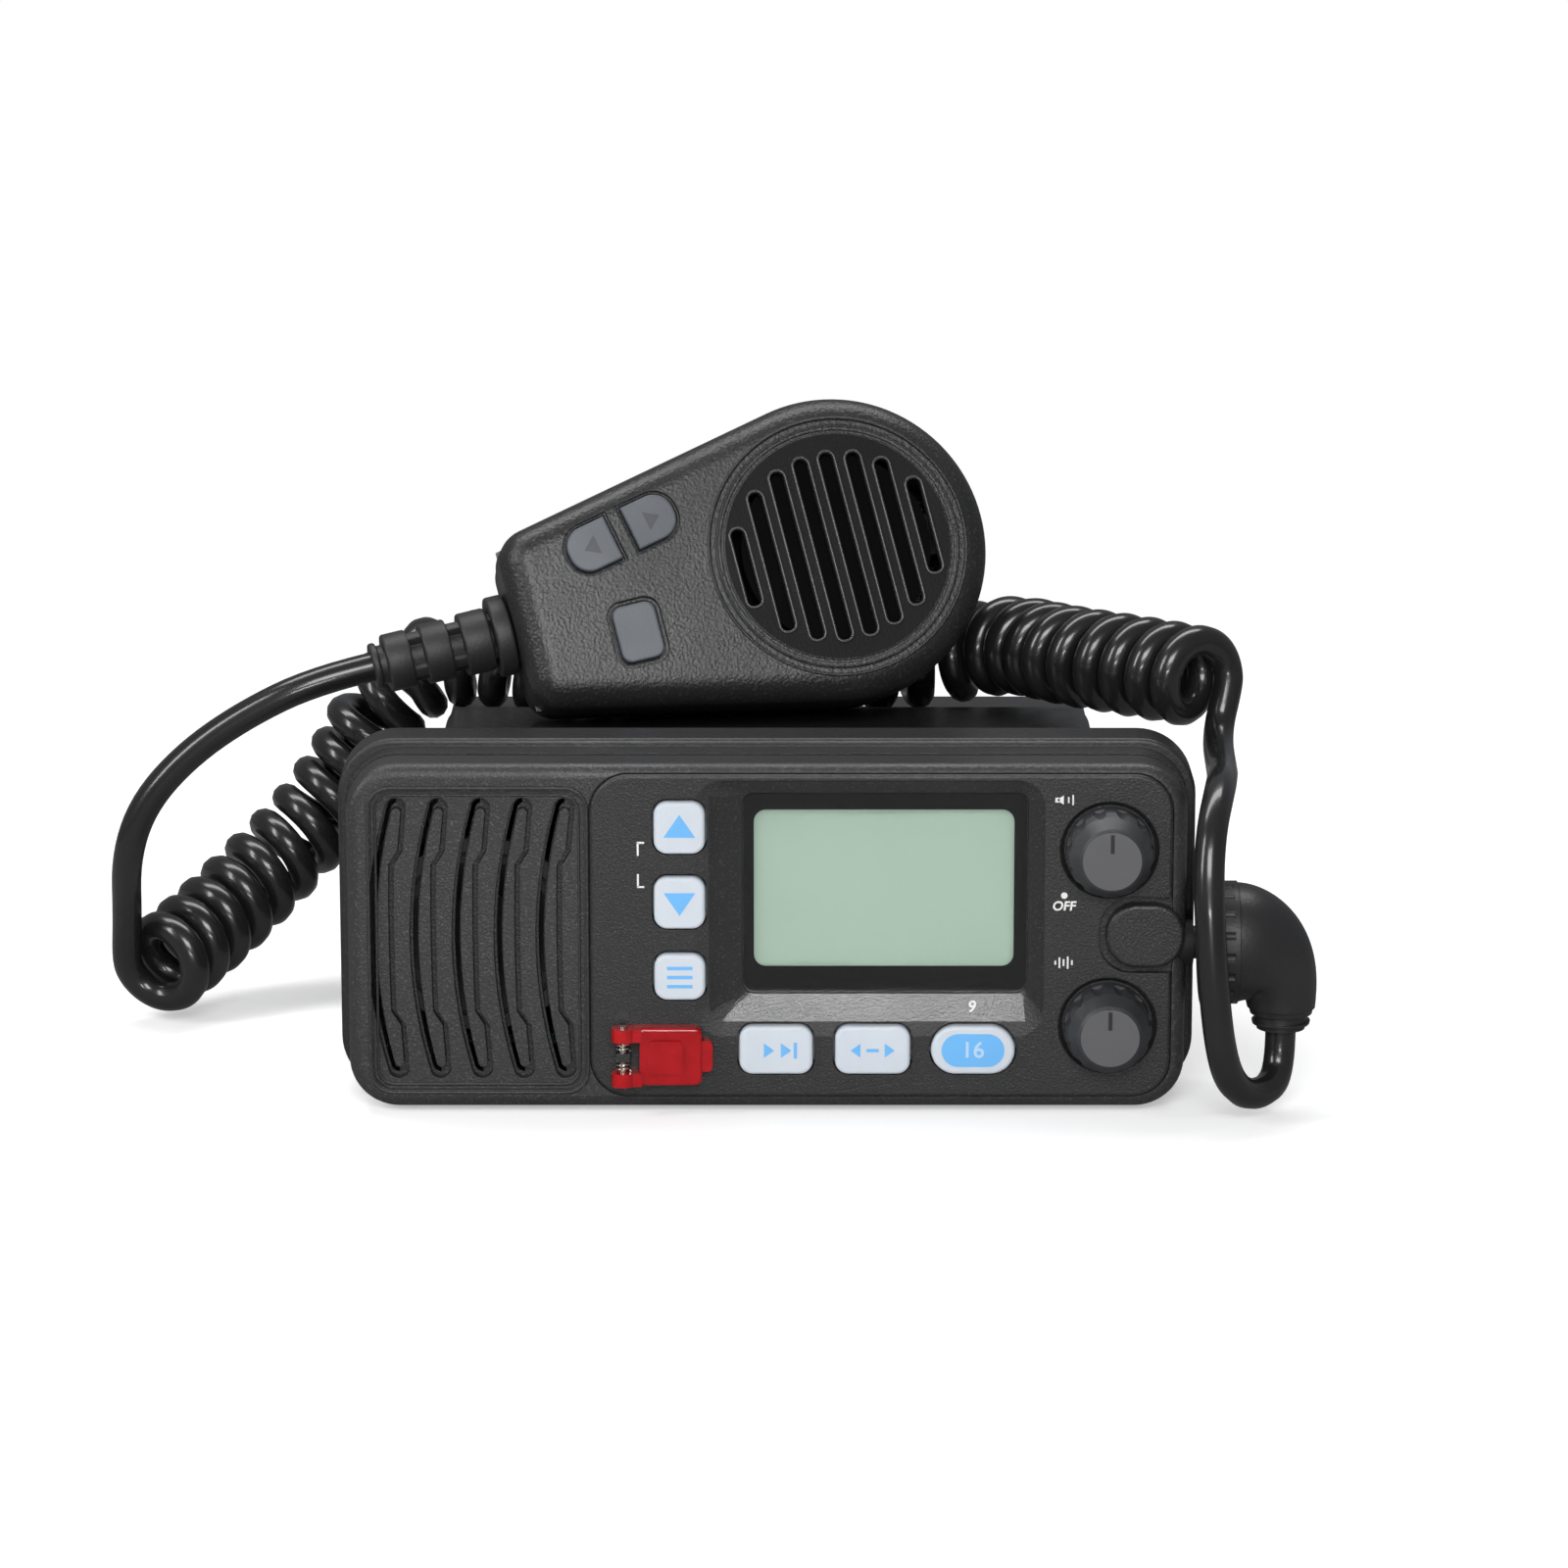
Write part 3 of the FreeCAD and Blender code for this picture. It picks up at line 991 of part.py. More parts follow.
def mic_outline(inset, y):
    """Round head with two flanks that taper to the cord end."""
    radius = size.mic_radius - inset
    tail = size.mic_tail - inset
    touch = Vector(-radius * math.sin(taper), y, radius * math.cos(taper))
    end_half = (size.mic_radius / math.cos(taper) - size.mic_tail * math.tan(taper)
                - inset * (1 / math.cos(taper) - math.tan(taper)))
    top = Vector(-tail, y, end_half)
    low_touch = Vector(touch.x, y, -touch.z)
    low = Vector(-tail, y, -end_half)
    edges = [Part.LineSegment(top, touch).toShape(),
             Part.Arc(touch, Vector(radius, y, 0), low_touch).toShape(),
             Part.LineSegment(low_touch, low).toShape(),
             Part.LineSegment(low, top).toShape()]
    return Part.Wire(edges)


def mic_slab(inset, near, far, corner):
    shape = Part.Face(mic_outline(inset, near)).extrude(Vector(0, far - near, 0))
    edges = [edge for edge in shape.Edges
             if edge.Curve.TypeId == "Part::GeomLine" and runs_along(Vector(0, 1, 0))(edge)
             and edge.CenterOfMass.x < -size.mic_tail * 0.7]
    return shape.makeFillet(corner, edges)


seam_y = size.mic_front_depth
back_y = seam_y + size.mic_back_depth
front_shell = mic_slab(0, 0, seam_y, size.mic_round)
front_shell = front_shell.makeFillet(size.mic_front_edge,
                                     faces_to(front_shell, Vector(0, -1, 0), 0))
inner_front = mic_slab(size.mic_wall, size.mic_wall, seam_y + 1, size.mic_round - size.mic_wall)
inner_front = inner_front.makeFillet(1.5, faces_to(
    inner_front, Vector(0, -1, 0), -size.mic_wall))
front_shell = front_shell.cut(inner_front)


def mic_ring(outer_radius, inner_radius, near, far):
    return bar(outer_radius, Vector(0, near, 0), Vector(0, far, 0)).cut(
        bar(inner_radius, Vector(0, near - 1, 0), Vector(0, far + 1, 0)))


grooves = [mic_ring(size.mic_disc_radius, size.mic_disc_radius - size.mic_groove, -1, 0.5),
           mic_ring(size.mic_disc_radius - 2, size.mic_disc_radius - 2.6, -1, 0.4)]
mic_openings = []
slot_reach = size.mic_disc_radius - 4.4
for k in range(int(size.mic_slots)):
    x = (k - (size.mic_slots - 1) / 2) * size.mic_slot_pitch - 3
    if abs(x) > slot_reach - 1:
        continue
    half = math.sqrt(slot_reach ** 2 - x ** 2) * 0.9
    mic_openings.append(tablet((x - size.mic_slot_width / 2, x + size.mic_slot_width / 2),
                               (-1, size.mic_wall + 1), (-half, half),
                               size.mic_slot_width / 2 - 0.1))


# The two channel keys fill one oval pad, split by a bar of the shell, and the
# power key sits alone in a deep well.
pad_place = Placement(Vector(-39.2, 0, 11.9), Rotation(Vector(0, 1, 0), -size.mic_taper))
power_place = Placement(Vector(-40.8, 0, -7), Rotation())
POWER_HALF_WIDTH = 4.1
POWER_HALF_HEIGHT = 5.4
KEY_RIM = 0.6


def pad_shape(inset, near, far):
    """Oval of the key pad, drawn in from its edge."""
    half_long = size.pad_length - inset
    half_tall = size.pad_half - inset
    return tablet((-half_long, half_long), (near, far), (-half_tall, half_tall),
                  half_tall - 0.4)


def pad_half_shape(side, inset, near, far):
    """Half of the oval on one side of the bar."""
    inner = size.pad_bar + inset
    reach = side * (size.pad_length + 1)
    ends = sorted((side * inner, reach))
    return pad_shape(inset, near, far).common(brick(ends, (near, far), (-10, 10)))


def power_shape(gap, near, far):
    half_wide = POWER_HALF_WIDTH + gap
    half_tall = POWER_HALF_HEIGHT + gap
    return tablet((-half_wide, half_wide), (near, far), (-half_tall, half_tall), 2 + gap)


def placed(shape, place):
    shape.Placement = place
    return shape


pad_well = pad_shape(0, -1, size.pad_depth).cut(
    brick((-size.pad_bar, size.pad_bar), (-2, size.pad_depth + 1), (-10, 10)))
power_well = power_shape(1, -1, size.pad_depth + 0.2)
mic_key_holes = [placed(pad_half_shape(side, size.key_inset - size.key_gap, -1,
                                       size.mic_wall + 1), pad_place) for side in (-1, 1)]
mic_key_holes.append(placed(power_shape(size.key_gap, -1, size.mic_wall + 1), power_place))
wells = [placed(pad_well, pad_place), placed(power_well, power_place)]
boot_y = seam_y + 0.4
boot_bore = bar(4.6, Vector(-size.mic_tail - 1, boot_y, 0), Vector(-size.mic_tail + 9, boot_y, 0))
front_shell = front_shell.cut(grooves + mic_openings + wells + mic_key_holes + [boot_bore])
solid("handset_front", front_shell, mic_place)

back_shell = mic_slab(size.mic_seam, seam_y + 0.8, back_y, size.mic_round - size.mic_seam)
back_shell = back_shell.makeFillet(size.mic_back_edge,
                                   faces_to(back_shell, Vector(0, 1, 0), back_y))
inner_back = mic_slab(size.mic_seam + size.mic_wall, seam_y, back_y - size.mic_wall,
                      size.mic_round - size.mic_wall)
back_shell = back_shell.cut(inner_back)
talk_start = math.radians(37)
talk_end = math.radians(73)
talk_mid = (talk_start + talk_end) / 2
talk_near = seam_y + 1.8
talk_far = back_y - 3.6


def talk_prism(inner_radius, outer_radius, gap, near, far):
    """Piece of a ring on the microphone's upper right flank."""
    first = talk_start - gap / size.mic_radius
    last = talk_end + gap / size.mic_radius

    def rim_point(radius, angle):
        return Vector(radius * math.cos(angle), near, radius * math.sin(angle))

    edges = [Part.Arc(rim_point(outer_radius, first), rim_point(outer_radius, talk_mid),
                      rim_point(outer_radius, last)).toShape(),
             Part.LineSegment(rim_point(outer_radius, last),
                              rim_point(inner_radius, last)).toShape(),
             Part.Arc(rim_point(inner_radius, last), rim_point(inner_radius, talk_mid),
                      rim_point(inner_radius, first)).toShape(),
             Part.LineSegment(rim_point(inner_radius, first),
                              rim_point(outer_radius, first)).toShape()]
    return Part.Face(Part.Wire(edges)).extrude(Vector(0, far - near, 0))


talk_hole = talk_prism(size.mic_radius - 6, size.mic_radius + 3, 0.9, talk_near - 0.4,
                       talk_far + 0.4)
hanger_spot = Vector(0, back_y, 6)
hanger_hole = bar(2.6, hanger_spot - Vector(0, 5, 0), hanger_spot + Vector(0, 1, 0))
MIC_SCREWS = [Vector(-50, back_y, 11), Vector(-50, back_y, -11), Vector(17, back_y, -15)]
mic_screw_holes = [bar(1.5, spot - Vector(0, 5, 0), spot + Vector(0, 1, 0))
                   for spot in MIC_SCREWS]
head_wells = [bar(2.9, spot - Vector(0, 1.2, 0), spot + Vector(0, 1, 0)) for spot in MIC_SCREWS]
back_shell = back_shell.cut([talk_hole, hanger_hole, boot_bore] + mic_screw_holes + head_wells)
solid("handset_back", back_shell, mic_place)
seal_ring = Part.Face(mic_outline(size.mic_seam + 0.2, seam_y)).extrude(Vector(0, 0.8, 0))
seal_core = Part.Face(mic_outline(size.mic_seam + 1.6, seam_y - 1)).extrude(Vector(0, 3, 0))
solid("handset_seal", seal_ring.cut([seal_core, boot_bore]), mic_place)

# Parts inside the microphone: loudspeaker, capsule and board.
mic_speaker = bar(18, Vector(0, size.mic_wall + 0.3, 0), Vector(0, size.mic_wall + 4.3, 0))
mic_speaker = mic_speaker.fuse(bar(9, Vector(0, size.mic_wall + 4, 0),
                                   Vector(0, size.mic_wall + 8, 0)))
solid("handset_speaker", mic_speaker.removeSplitter(), mic_place)
solid("handset_capsule", bar(4.8, Vector(-24, size.mic_wall + 0.3, 0),
                             Vector(-24, size.mic_wall + 4.8, 0)), mic_place)
mic_board_y = size.mic_wall + 6.2
mic_board = brick((-53, -11), (mic_board_y, mic_board_y + size.board_thick), (-12, 12))
solid("handset_board", mic_board, mic_place)


def handset_key(cap, rim, stem_x):
    """Cap with softened front edges, its stop rim behind the wall and its stem."""
    soft = cap.makeFillet(0.4, faces_to(cap, Vector(0, -1, 0), KEY_PROUD))
    stem = brick((stem_x - 2, stem_x + 2), (size.mic_wall, mic_board_y - size.key_travel - 0.2),
                 (-1.5, 1.5))
    return joined(soft, rim, stem)


KEY_PROUD = 0.5
rim_near = size.mic_wall + size.seat_gap
rim_far = size.mic_wall + 0.9
for name, side in (("handset_key_down", -1), ("handset_key_up", 1)):
    cap = pad_half_shape(side, size.key_inset, -KEY_PROUD, rim_near)
    rim = pad_half_shape(side, size.key_inset - KEY_RIM, rim_near, rim_far)
    solid(name, handset_key(cap, rim, side * size.pad_length / 2), mic_place.multiply(pad_place))
power_key = handset_key(power_shape(0, -KEY_PROUD, rim_near),
                        power_shape(KEY_RIM, rim_near, rim_far), 0)
solid("handset_key_power", power_key, mic_place.multiply(power_place))
lever = talk_prism(size.mic_radius - size.talk_depth, size.mic_radius + size.talk_rise, 0,
                   talk_near, talk_far)
solid("talk_key", lever, mic_place)
switch_turn = Placement(Vector(), Rotation(Vector(0, 1, 0), -math.degrees(talk_mid)))
switch_floor = back_y - size.mic_wall - 0.05
switch_case = brick((size.mic_radius - 12, size.mic_radius - 6), (talk_near, switch_floor),
                    (-4, 4))
talk_middle_y = (talk_near + talk_far) / 2
plunger_end = size.mic_radius - size.talk_depth - size.talk_travel - 0.1
switch_case = switch_case.fuse(bar(1.4, Vector(size.mic_radius - 7, talk_middle_y, 0),
                                   Vector(plunger_end, talk_middle_y, 0)))
switch_case.Placement = switch_turn
solid("talk_switch", switch_case, mic_place)
button = bar(2.55, hanger_spot - Vector(0, 4, 0), hanger_spot + Vector(0, 3.2, 0))
button = button.fuse(bar(7.5, hanger_spot + Vector(0, 3, 0), hanger_spot + Vector(0, 5.6, 0)))
solid("hanger_button", button.removeSplitter(), mic_place)
solid("handset_screws", Part.makeCompound([
    screw(spot - Vector(0, 1.2, 0), rear_way, 1.45, 2.7, 1.1, 4) for spot in MIC_SCREWS]),
    mic_place)

# Ribbed boot at the microphone and the tail that leaves it.
boot_root = Vector(-size.mic_tail, boot_y, 0)
boot = ribbed(boot_root, Vector(-1, 0, 0), size.boot_length, size.boot_radius,
              size.boot_tip_radius, 3, 1.1)
boot_collar = bar(size.collar_radius, boot_root - Vector(0.3, 0, 0), boot_root - Vector(3.4, 0, 0))
boot_inside = bar(4.5, boot_root - Vector(1, 0, 0), boot_root + Vector(8, 0, 0))
solid("handset_boot", joined(boot, boot_collar, boot_inside), mic_place)
tail_start = mic_place.multVec(boot_root - Vector(size.boot_length, 0, 0))
print("mic tail start", tail_start, mic_place.Rotation.multVec(Vector(-1, 0, 0)))
MIC_TAIL = [(-118.4, 2.6, 34.6), (-111.4, 1.0, 45.4), (-102.8, -1.6, 56.0),
            (-93.0, -3.6, 64.6)]
exit_way = mic_place.Rotation.multVec(Vector(-1, 0, 0))
two_diameters = 2 * size.cord_diameter
mic_tail_points = ([coil_end, coil_end + coil_ways[-1] * two_diameters]
                   + [Vector(*point) for point in MIC_TAIL]
                   + [tail_start + exit_way * two_diameters, tail_start])
solid("cord_tail_mic", cord_tail(mic_tail_points, "mic tail"))

# Every object is computed and checked before anything is written.
doc.recompute()
for part in doc.Objects:
    faulty = {"Invalid", "Error"} & set(part.State)
    if faulty:
        raise RuntimeError(f"{part.Name} is {faulty}")
for name, part in NODES.items():
    if part.Shape.isNull() or not part.Shape.isValid():
        raise RuntimeError(f"{name} has no valid shape")
    part.Shape.exportStep(f"parts/{name}.step")
print(len(NODES), "nodes written")
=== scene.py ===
import math

import bpy
from mathutils import Matrix, Vector


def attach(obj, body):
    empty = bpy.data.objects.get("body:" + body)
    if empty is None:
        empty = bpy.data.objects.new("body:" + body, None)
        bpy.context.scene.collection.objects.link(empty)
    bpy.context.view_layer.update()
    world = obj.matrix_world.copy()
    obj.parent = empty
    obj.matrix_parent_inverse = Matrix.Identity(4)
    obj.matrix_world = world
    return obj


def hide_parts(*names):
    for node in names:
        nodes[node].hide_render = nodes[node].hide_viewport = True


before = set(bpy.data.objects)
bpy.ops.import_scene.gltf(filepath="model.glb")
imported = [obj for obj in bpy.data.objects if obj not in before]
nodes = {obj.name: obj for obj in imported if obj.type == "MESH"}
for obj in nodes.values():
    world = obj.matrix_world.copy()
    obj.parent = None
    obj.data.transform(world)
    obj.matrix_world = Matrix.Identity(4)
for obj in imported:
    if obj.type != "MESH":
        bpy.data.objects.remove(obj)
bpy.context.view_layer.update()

# Camera at the photograph's angle: thirteen degrees above the front panel,
# about a metre away, with a long lens.
LOOK_DOWN = math.radians(13)
CAMERA_DISTANCE = 1.043
FOCAL_PIXELS = 5927
IMAGE_PIXELS = 1600
SENSOR_WIDTH = 36
LOOK_AT = Vector((0.00314, -0.055, 0.06156))
camera_data = bpy.data.cameras.new("camera")
camera_data.sensor_width = SENSOR_WIDTH
camera_data.lens = FOCAL_PIXELS / IMAGE_PIXELS * SENSOR_WIDTH
camera = bpy.data.objects.new("camera", camera_data)
camera.location = LOOK_AT - CAMERA_DISTANCE * Vector((0, math.cos(LOOK_DOWN),
                                                      -math.sin(LOOK_DOWN)))
camera.rotation_euler = (math.pi / 2 - LOOK_DOWN, 0, 0)
bpy.context.collection.objects.link(camera)
bpy.context.scene.camera = camera

# Cord jacket: smooth black polyurethane with faint rubbed patches. Its fine
# grain and cloudy wear are a shared effect that the moulded, painted and plated
# finishes of the other pieces use as well, each at its own scale.
MM = 0.001
PEBBLE_SHARE = 0.5
WORN_SPAN = (0.35, 0.7)
PAINTED_GLINT_SPAN = (0.56, 0.74)
RELIEF_HEIGHT = 0.2 * MM
COAT_ROUGHNESS = 0.06
LEAST_ROUGHNESS = 0.03


def maths(tree, operation, *values):
    """Output of a Math node that is fed with numbers or with other nodes' outputs."""
    node = tree.nodes.new("ShaderNodeMath")
    node.operation = operation
    for socket, value in zip(node.inputs, values):
        if isinstance(value, (int, float)):
            socket.default_value = value
        else:
            tree.links.new(value, socket)
    return node.outputs["Value"]


def ranged(tree, value, span=(0, 1), to=(0, 1)):
    """Output of a Map Range node that takes one span of a value to another."""
    node = tree.nodes.new("ShaderNodeMapRange")
    node.inputs["From Min"].default_value = span[0]
    node.inputs["From Max"].default_value = span[1]
    node.inputs["To Min"].default_value = to[0]
    node.inputs["To Max"].default_value = to[1]
    tree.links.new(value, node.inputs["Value"])
    return node.outputs["Result"]


moulded_grain = bpy.data.node_groups.new("moulded_grain", "ShaderNodeTree")
for socket in ("Scale", "Wear Scale"):
    moulded_grain.interface.new_socket(socket, in_out="INPUT", socket_type="NodeSocketFloat")
for socket in ("Height", "Wear", "Painted Glint"):
    moulded_grain.interface.new_socket(socket, in_out="OUTPUT", socket_type="NodeSocketFloat")
group_in = moulded_grain.nodes.new("NodeGroupInput")
group_out = moulded_grain.nodes.new("NodeGroupOutput")
own_place = moulded_grain.nodes.new("ShaderNodeTexCoord")
pebbles = moulded_grain.nodes.new("ShaderNodeTexVoronoi")
pebbles.feature = "SMOOTH_F1"
fine = moulded_grain.nodes.new("ShaderNodeTexNoise")
fine.inputs["Detail"].default_value = 4
patches = moulded_grain.nodes.new("ShaderNodeTexNoise")
patches.inputs["Detail"].default_value = 5
for texture, scale in ((pebbles, "Scale"), (fine, "Scale"), (patches, "Wear Scale")):
    moulded_grain.links.new(own_place.outputs["Object"], texture.inputs["Vector"])
    moulded_grain.links.new(group_in.outputs[scale], texture.inputs["Scale"])
speckle = maths(moulded_grain, "MULTIPLY", pebbles.outputs["Distance"], PEBBLE_SHARE)
relief_map = maths(moulded_grain, "SUBTRACT", fine.outputs["Fac"], speckle)
worn_map = ranged(moulded_grain, patches.outputs["Fac"], WORN_SPAN)
# Painted glints: where the fine noise peaks, the colour is lightened in small specks that stand in
# for tiny highlights.
painted_glint_map = ranged(moulded_grain, fine.outputs["Fac"], PAINTED_GLINT_SPAN)
moulded_grain.links.new(relief_map, group_out.inputs["Height"])
moulded_grain.links.new(worn_map, group_out.inputs["Wear"])
moulded_grain.links.new(painted_glint_map, group_out.inputs["Painted Glint"])


def new_material(name):
    """An empty material, its node tree and its shader."""
    material = bpy.data.materials.new(name)
    material.use_nodes = True
    return material, material.node_tree, material.node_tree.nodes["Principled BSDF"]


def grained(tree, grain, wear_scale):
    """The shared grain as a node of one material, at its own scales."""
    texture = tree.nodes.new("ShaderNodeGroup")
    texture.node_tree = moulded_grain
    texture.inputs["Scale"].default_value = grain
    texture.inputs["Wear Scale"].default_value = wear_scale
    return texture


def two_colours(tree, share, first, second):
    """Output that goes from one colour to another. The first may be a node's output."""
    mix = tree.nodes.new("ShaderNodeMix")
    mix.data_type = "RGBA"
    if isinstance(first, tuple):
        mix.inputs["A"].default_value = first
    else:
        tree.links.new(first, mix.inputs["A"])
    mix.inputs["B"].default_value = second
    tree.links.new(share, mix.inputs["Factor"])
    return mix.outputs["Result"]


def moulded(name, colour, roughness, grain=2400, depth=0.2, wear=0.1, gloss_wear=0.1,
            painted_glint=0.0, edge=0.0, metallic=0.0, coat=0.0, specular=0.5, wear_scale=40):
    """Material of one moulded, painted or plated finish, with its grain, rubbed patches and
    painted glints.
    """
    material, tree, shader = new_material(name)
    shader.inputs["Metallic"].default_value = metallic
    shader.inputs["Coat Weight"].default_value = coat
    shader.inputs["Coat Roughness"].default_value = COAT_ROUGHNESS
    shader.inputs["Specular IOR Level"].default_value = specular
    texture = grained(tree, grain, wear_scale)
    darker = (*[channel * (1 - wear) for channel in colour], 1)
    lighter = (*[min(1, channel * (1 + wear)) for channel in colour], 1)
    # A lighter copy of the colour, shown in the specks: painted glints.
    painted_glint_colour = (*[min(1, channel + painted_glint) for channel in colour], 1)
    tint = two_colours(tree, texture.outputs["Wear"], darker, lighter)
    lit = two_colours(tree, texture.outputs["Painted Glint"], tint, painted_glint_colour)
    tree.links.new(lit, shader.inputs["Base Color"])
    gloss = ranged(tree, texture.outputs["Wear"],
                   to=(roughness + gloss_wear / 2,
                       max(LEAST_ROUGHNESS, roughness - gloss_wear / 2)))
    tree.links.new(gloss, shader.inputs["Roughness"])
    relief = tree.nodes.new("ShaderNodeBump")
    relief.inputs["Strength"].default_value = depth
    relief.inputs["Distance"].default_value = RELIEF_HEIGHT
    tree.links.new(texture.outputs["Height"], relief.inputs["Height"])
    if edge:
        soft_edge = tree.nodes.new("ShaderNodeBevel")
        soft_edge.samples = 4
        soft_edge.inputs["Radius"].default_value = edge
        tree.links.new(soft_edge.outputs["Normal"], relief.inputs["Normal"])
    tree.links.new(relief.outputs["Normal"], shader.inputs["Normal"])
    return material


# Curly cord: one jacketed cable, wound left-handed in the middle with a
# smooth tail at each end, moulded into the microphone's boot and the plug.
CORD_DIAMETER = 5.7 * MM
COIL_RADIUS = 6.65 * MM
CURLS = 36
START_ANGLE = math.radians(-20)
END_ANGLE = math.radians(15)
POINTS_PER_CURL = 16
LEAD_DIAMETERS = 1.7
EXIT_DIAMETERS = 2
COIL_AXIS = [(81.1, -18.0, 73.2), (68.5, -4.8, 72.8), (57.0, 9.0, 71.8), (47.0, 29.5, 70.2),
             (33.4, 38.0, 65.4), (14.0, 36.2, 63.8), (-8.0, 35.2, 63.8), (-28.0, 34.6, 63.8),
             (-44.0, 38.0, 63.8), (-62.4, 42.4, 65.4), (-74.6, 43.4, 57.4), (-80.6, 41.6, 44.4),
             (-88.8, 37.6, 33.0), (-99.2, 29.8, 23.4), (-109.0, 18.2, 15.4),
             (-117.2, 5.0, 11.0)]
PLUG_TAIL = [(93.6, -50.2, 15.0), (93.6, -50.2, 8.6), (91.8, -54.6, 4.8), (87.2, -59.6, 4.6),
             (83.4, -63.9, 8.6), (81.4, -66.4, 15.6), (80.0, -67.6, 26.5), (79.2, -67.0, 38.5),
             (78.9, -65.2, 47.5), (79.6, -61.6, 55.0), (81.4, -54.0, 59.6), (82.8, -43.4, 60.2),
             (83.6, -31.5, 58.4)]
MIC_TAIL = [(-121.4, -3.6, 35.6), (-117.6, -4.4, 46.2), (-109.2, -4.6, 55.6), (-98.4, -4.6, 63.2)]
MIC_EXIT = Vector((-74.289, -2.303, 71.983)) * MM
MIC_EXIT_WAY = Vector((-0.95873, -0.20655, -0.19537))


def smooth_line(name, points):
    """Open NURBS line with these control points, as a curve object."""
    data = bpy.data.curves.new(name, "CURVE")
    data.dimensions = "3D"
    line = data.splines.new("NURBS")
    line.points.add(len(points) - 1)
    for control, point in zip(line.points, points):
        control.co = (*point, 1)
    line.order_u = 3
    line.use_endpoint_u = True
    piece = bpy.data.objects.new(name, data)
    bpy.context.collection.objects.link(piece)
    return piece


axis_line = smooth_line("coil_axis", [Vector(point) * MM for point in COIL_AXIS])
axis_line.data.resolution_u = 64
bpy.context.view_layer.update()
axis_mesh = bpy.data.meshes.new_from_object(axis_line.evaluated_get(
    bpy.context.evaluated_depsgraph_get()))
axis_points = [vertex.co.copy() for vertex in axis_mesh.vertices]
bpy.data.objects.remove(axis_line)
bpy.data.meshes.remove(axis_mesh)
reached = [0.0]
for before, after in zip(axis_points, axis_points[1:]):
    reached.append(reached[-1] + (after - before).length)
axis_length = reached[-1]


def on_axis(distance):
    """Point of the coil's axis and its direction at a length along it."""
    distance = min(max(distance, 0), axis_length)
    low, high = 0, len(reached) - 2
    while low < high:
        middle = (low + high + 1) // 2
        if reached[middle] <= distance:
            low = middle
        else:
            high = middle - 1
    step = axis_points[low + 1] - axis_points[low]
    share = (distance - reached[low]) / step.length
    return axis_points[low] + step * share, step.normalized()


# Where the axis bends, the curls close up on the inside and fan out on the
# outside, so the winding slows down there.
AXIS_STEPS = 600
SMOOTHED_STEPS = 12
BEND_REACH = 4 * axis_length / AXIS_STEPS
bends = []
for k in range(AXIS_STEPS):
    middle = axis_length * (k + 0.5) / AXIS_STEPS
    turned = on_axis(middle - BEND_REACH)[1].angle(on_axis(middle + BEND_REACH)[1], 0)
    bends.append(turned / (2 * BEND_REACH))
wound_so_far = [0.0]
for k in range(AXIS_STEPS):
    nearby = bends[max(0, k - SMOOTHED_STEPS):k + SMOOTHED_STEPS + 1]
    wound_so_far.append(wound_so_far[-1] + 1 - COIL_RADIUS * sum(nearby) / len(nearby))

# The winding itself. A NURBS line runs inside its control points, so these lie
# a little further out than the cord's middle.
total_turn = 2 * math.pi * CURLS + END_ANGLE - START_ANGLE
point_count = CURLS * POINTS_PER_CURL
outset = 2 / (1 + math.cos(2 * math.pi / POINTS_PER_CURL))
coil_points = []
coil_ways = []
k = 0
for step in range(point_count + 1):
    target = wound_so_far[-1] * step / point_count
    while k < AXIS_STEPS - 1 and wound_so_far[k + 1] < target:
        k += 1
    share = (target - wound_so_far[k]) / (wound_so_far[k + 1] - wound_so_far[k])
    spot, ahead = on_axis(axis_length * (k + share) / AXIS_STEPS)
    side = ahead.cross(Vector((0, 0, 1))).normalized()
    up = side.cross(ahead).normalized()
    angle = START_ANGLE + total_turn * step / point_count
    spoke = side * math.cos(angle) + up * math.sin(angle)
    coil_points.append(spot + spoke * COIL_RADIUS * outset)
    coil_ways.append(up * math.cos(angle) - side * math.sin(angle))
plug_lead = coil_points[0] - coil_ways[0] * CORD_DIAMETER * LEAD_DIAMETERS
mic_lead = coil_points[-1] + coil_ways[-1] * CORD_DIAMETER * LEAD_DIAMETERS
cord_points = [Vector(point) * MM for point in PLUG_TAIL] + [plug_lead] + coil_points
cord_points += [mic_lead] + [Vector(point) * MM for point in MIC_TAIL]
cord_points += [MIC_EXIT + MIC_EXIT_WAY * CORD_DIAMETER * EXIT_DIAMETERS, MIC_EXIT]
cord_points.reverse()
cord = smooth_line("curly_cord", cord_points)
cord.data.bevel_depth = CORD_DIAMETER / 2
cord.data.bevel_resolution = 4
cord.data.resolution_u = 6
cord.data.use_fill_caps = True
cord.data.materials.append(moulded("cord_jacket", (0.012, 0.012, 0.0125), 0.25, grain=1500,
                                   depth=0.04, wear=0.25, gloss_wear=0.05,
                                   coat=0.3, wear_scale=50))
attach(cord, "radio")
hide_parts("cord_coil", "cord_tail_plug", "cord_tail_mic")

# Studio lamps: a large one above the camera, a strip overhead that draws the top
# edges, a low card far in front for the display dish, and a small one on the left.
# The surroundings are plain white to the camera and dim to the object.
AMBIENT = 0.2
scene = bpy.context.scene
scene.view_settings.view_transform = "Standard"


def lamp(name, place, aim, width, height, power):
    """Soft rectangular lamp that points at a spot."""
    data = bpy.data.lights.new(name, "AREA")
    data.shape = "RECTANGLE"
    data.size = width
    data.size_y = height
    data.energy = power
    light = bpy.data.objects.new(name, data)
    light.location = place
    light.rotation_euler = (Vector(aim) - Vector(place)).to_track_quat("-Z", "Y").to_euler()
    bpy.context.collection.objects.link(light)


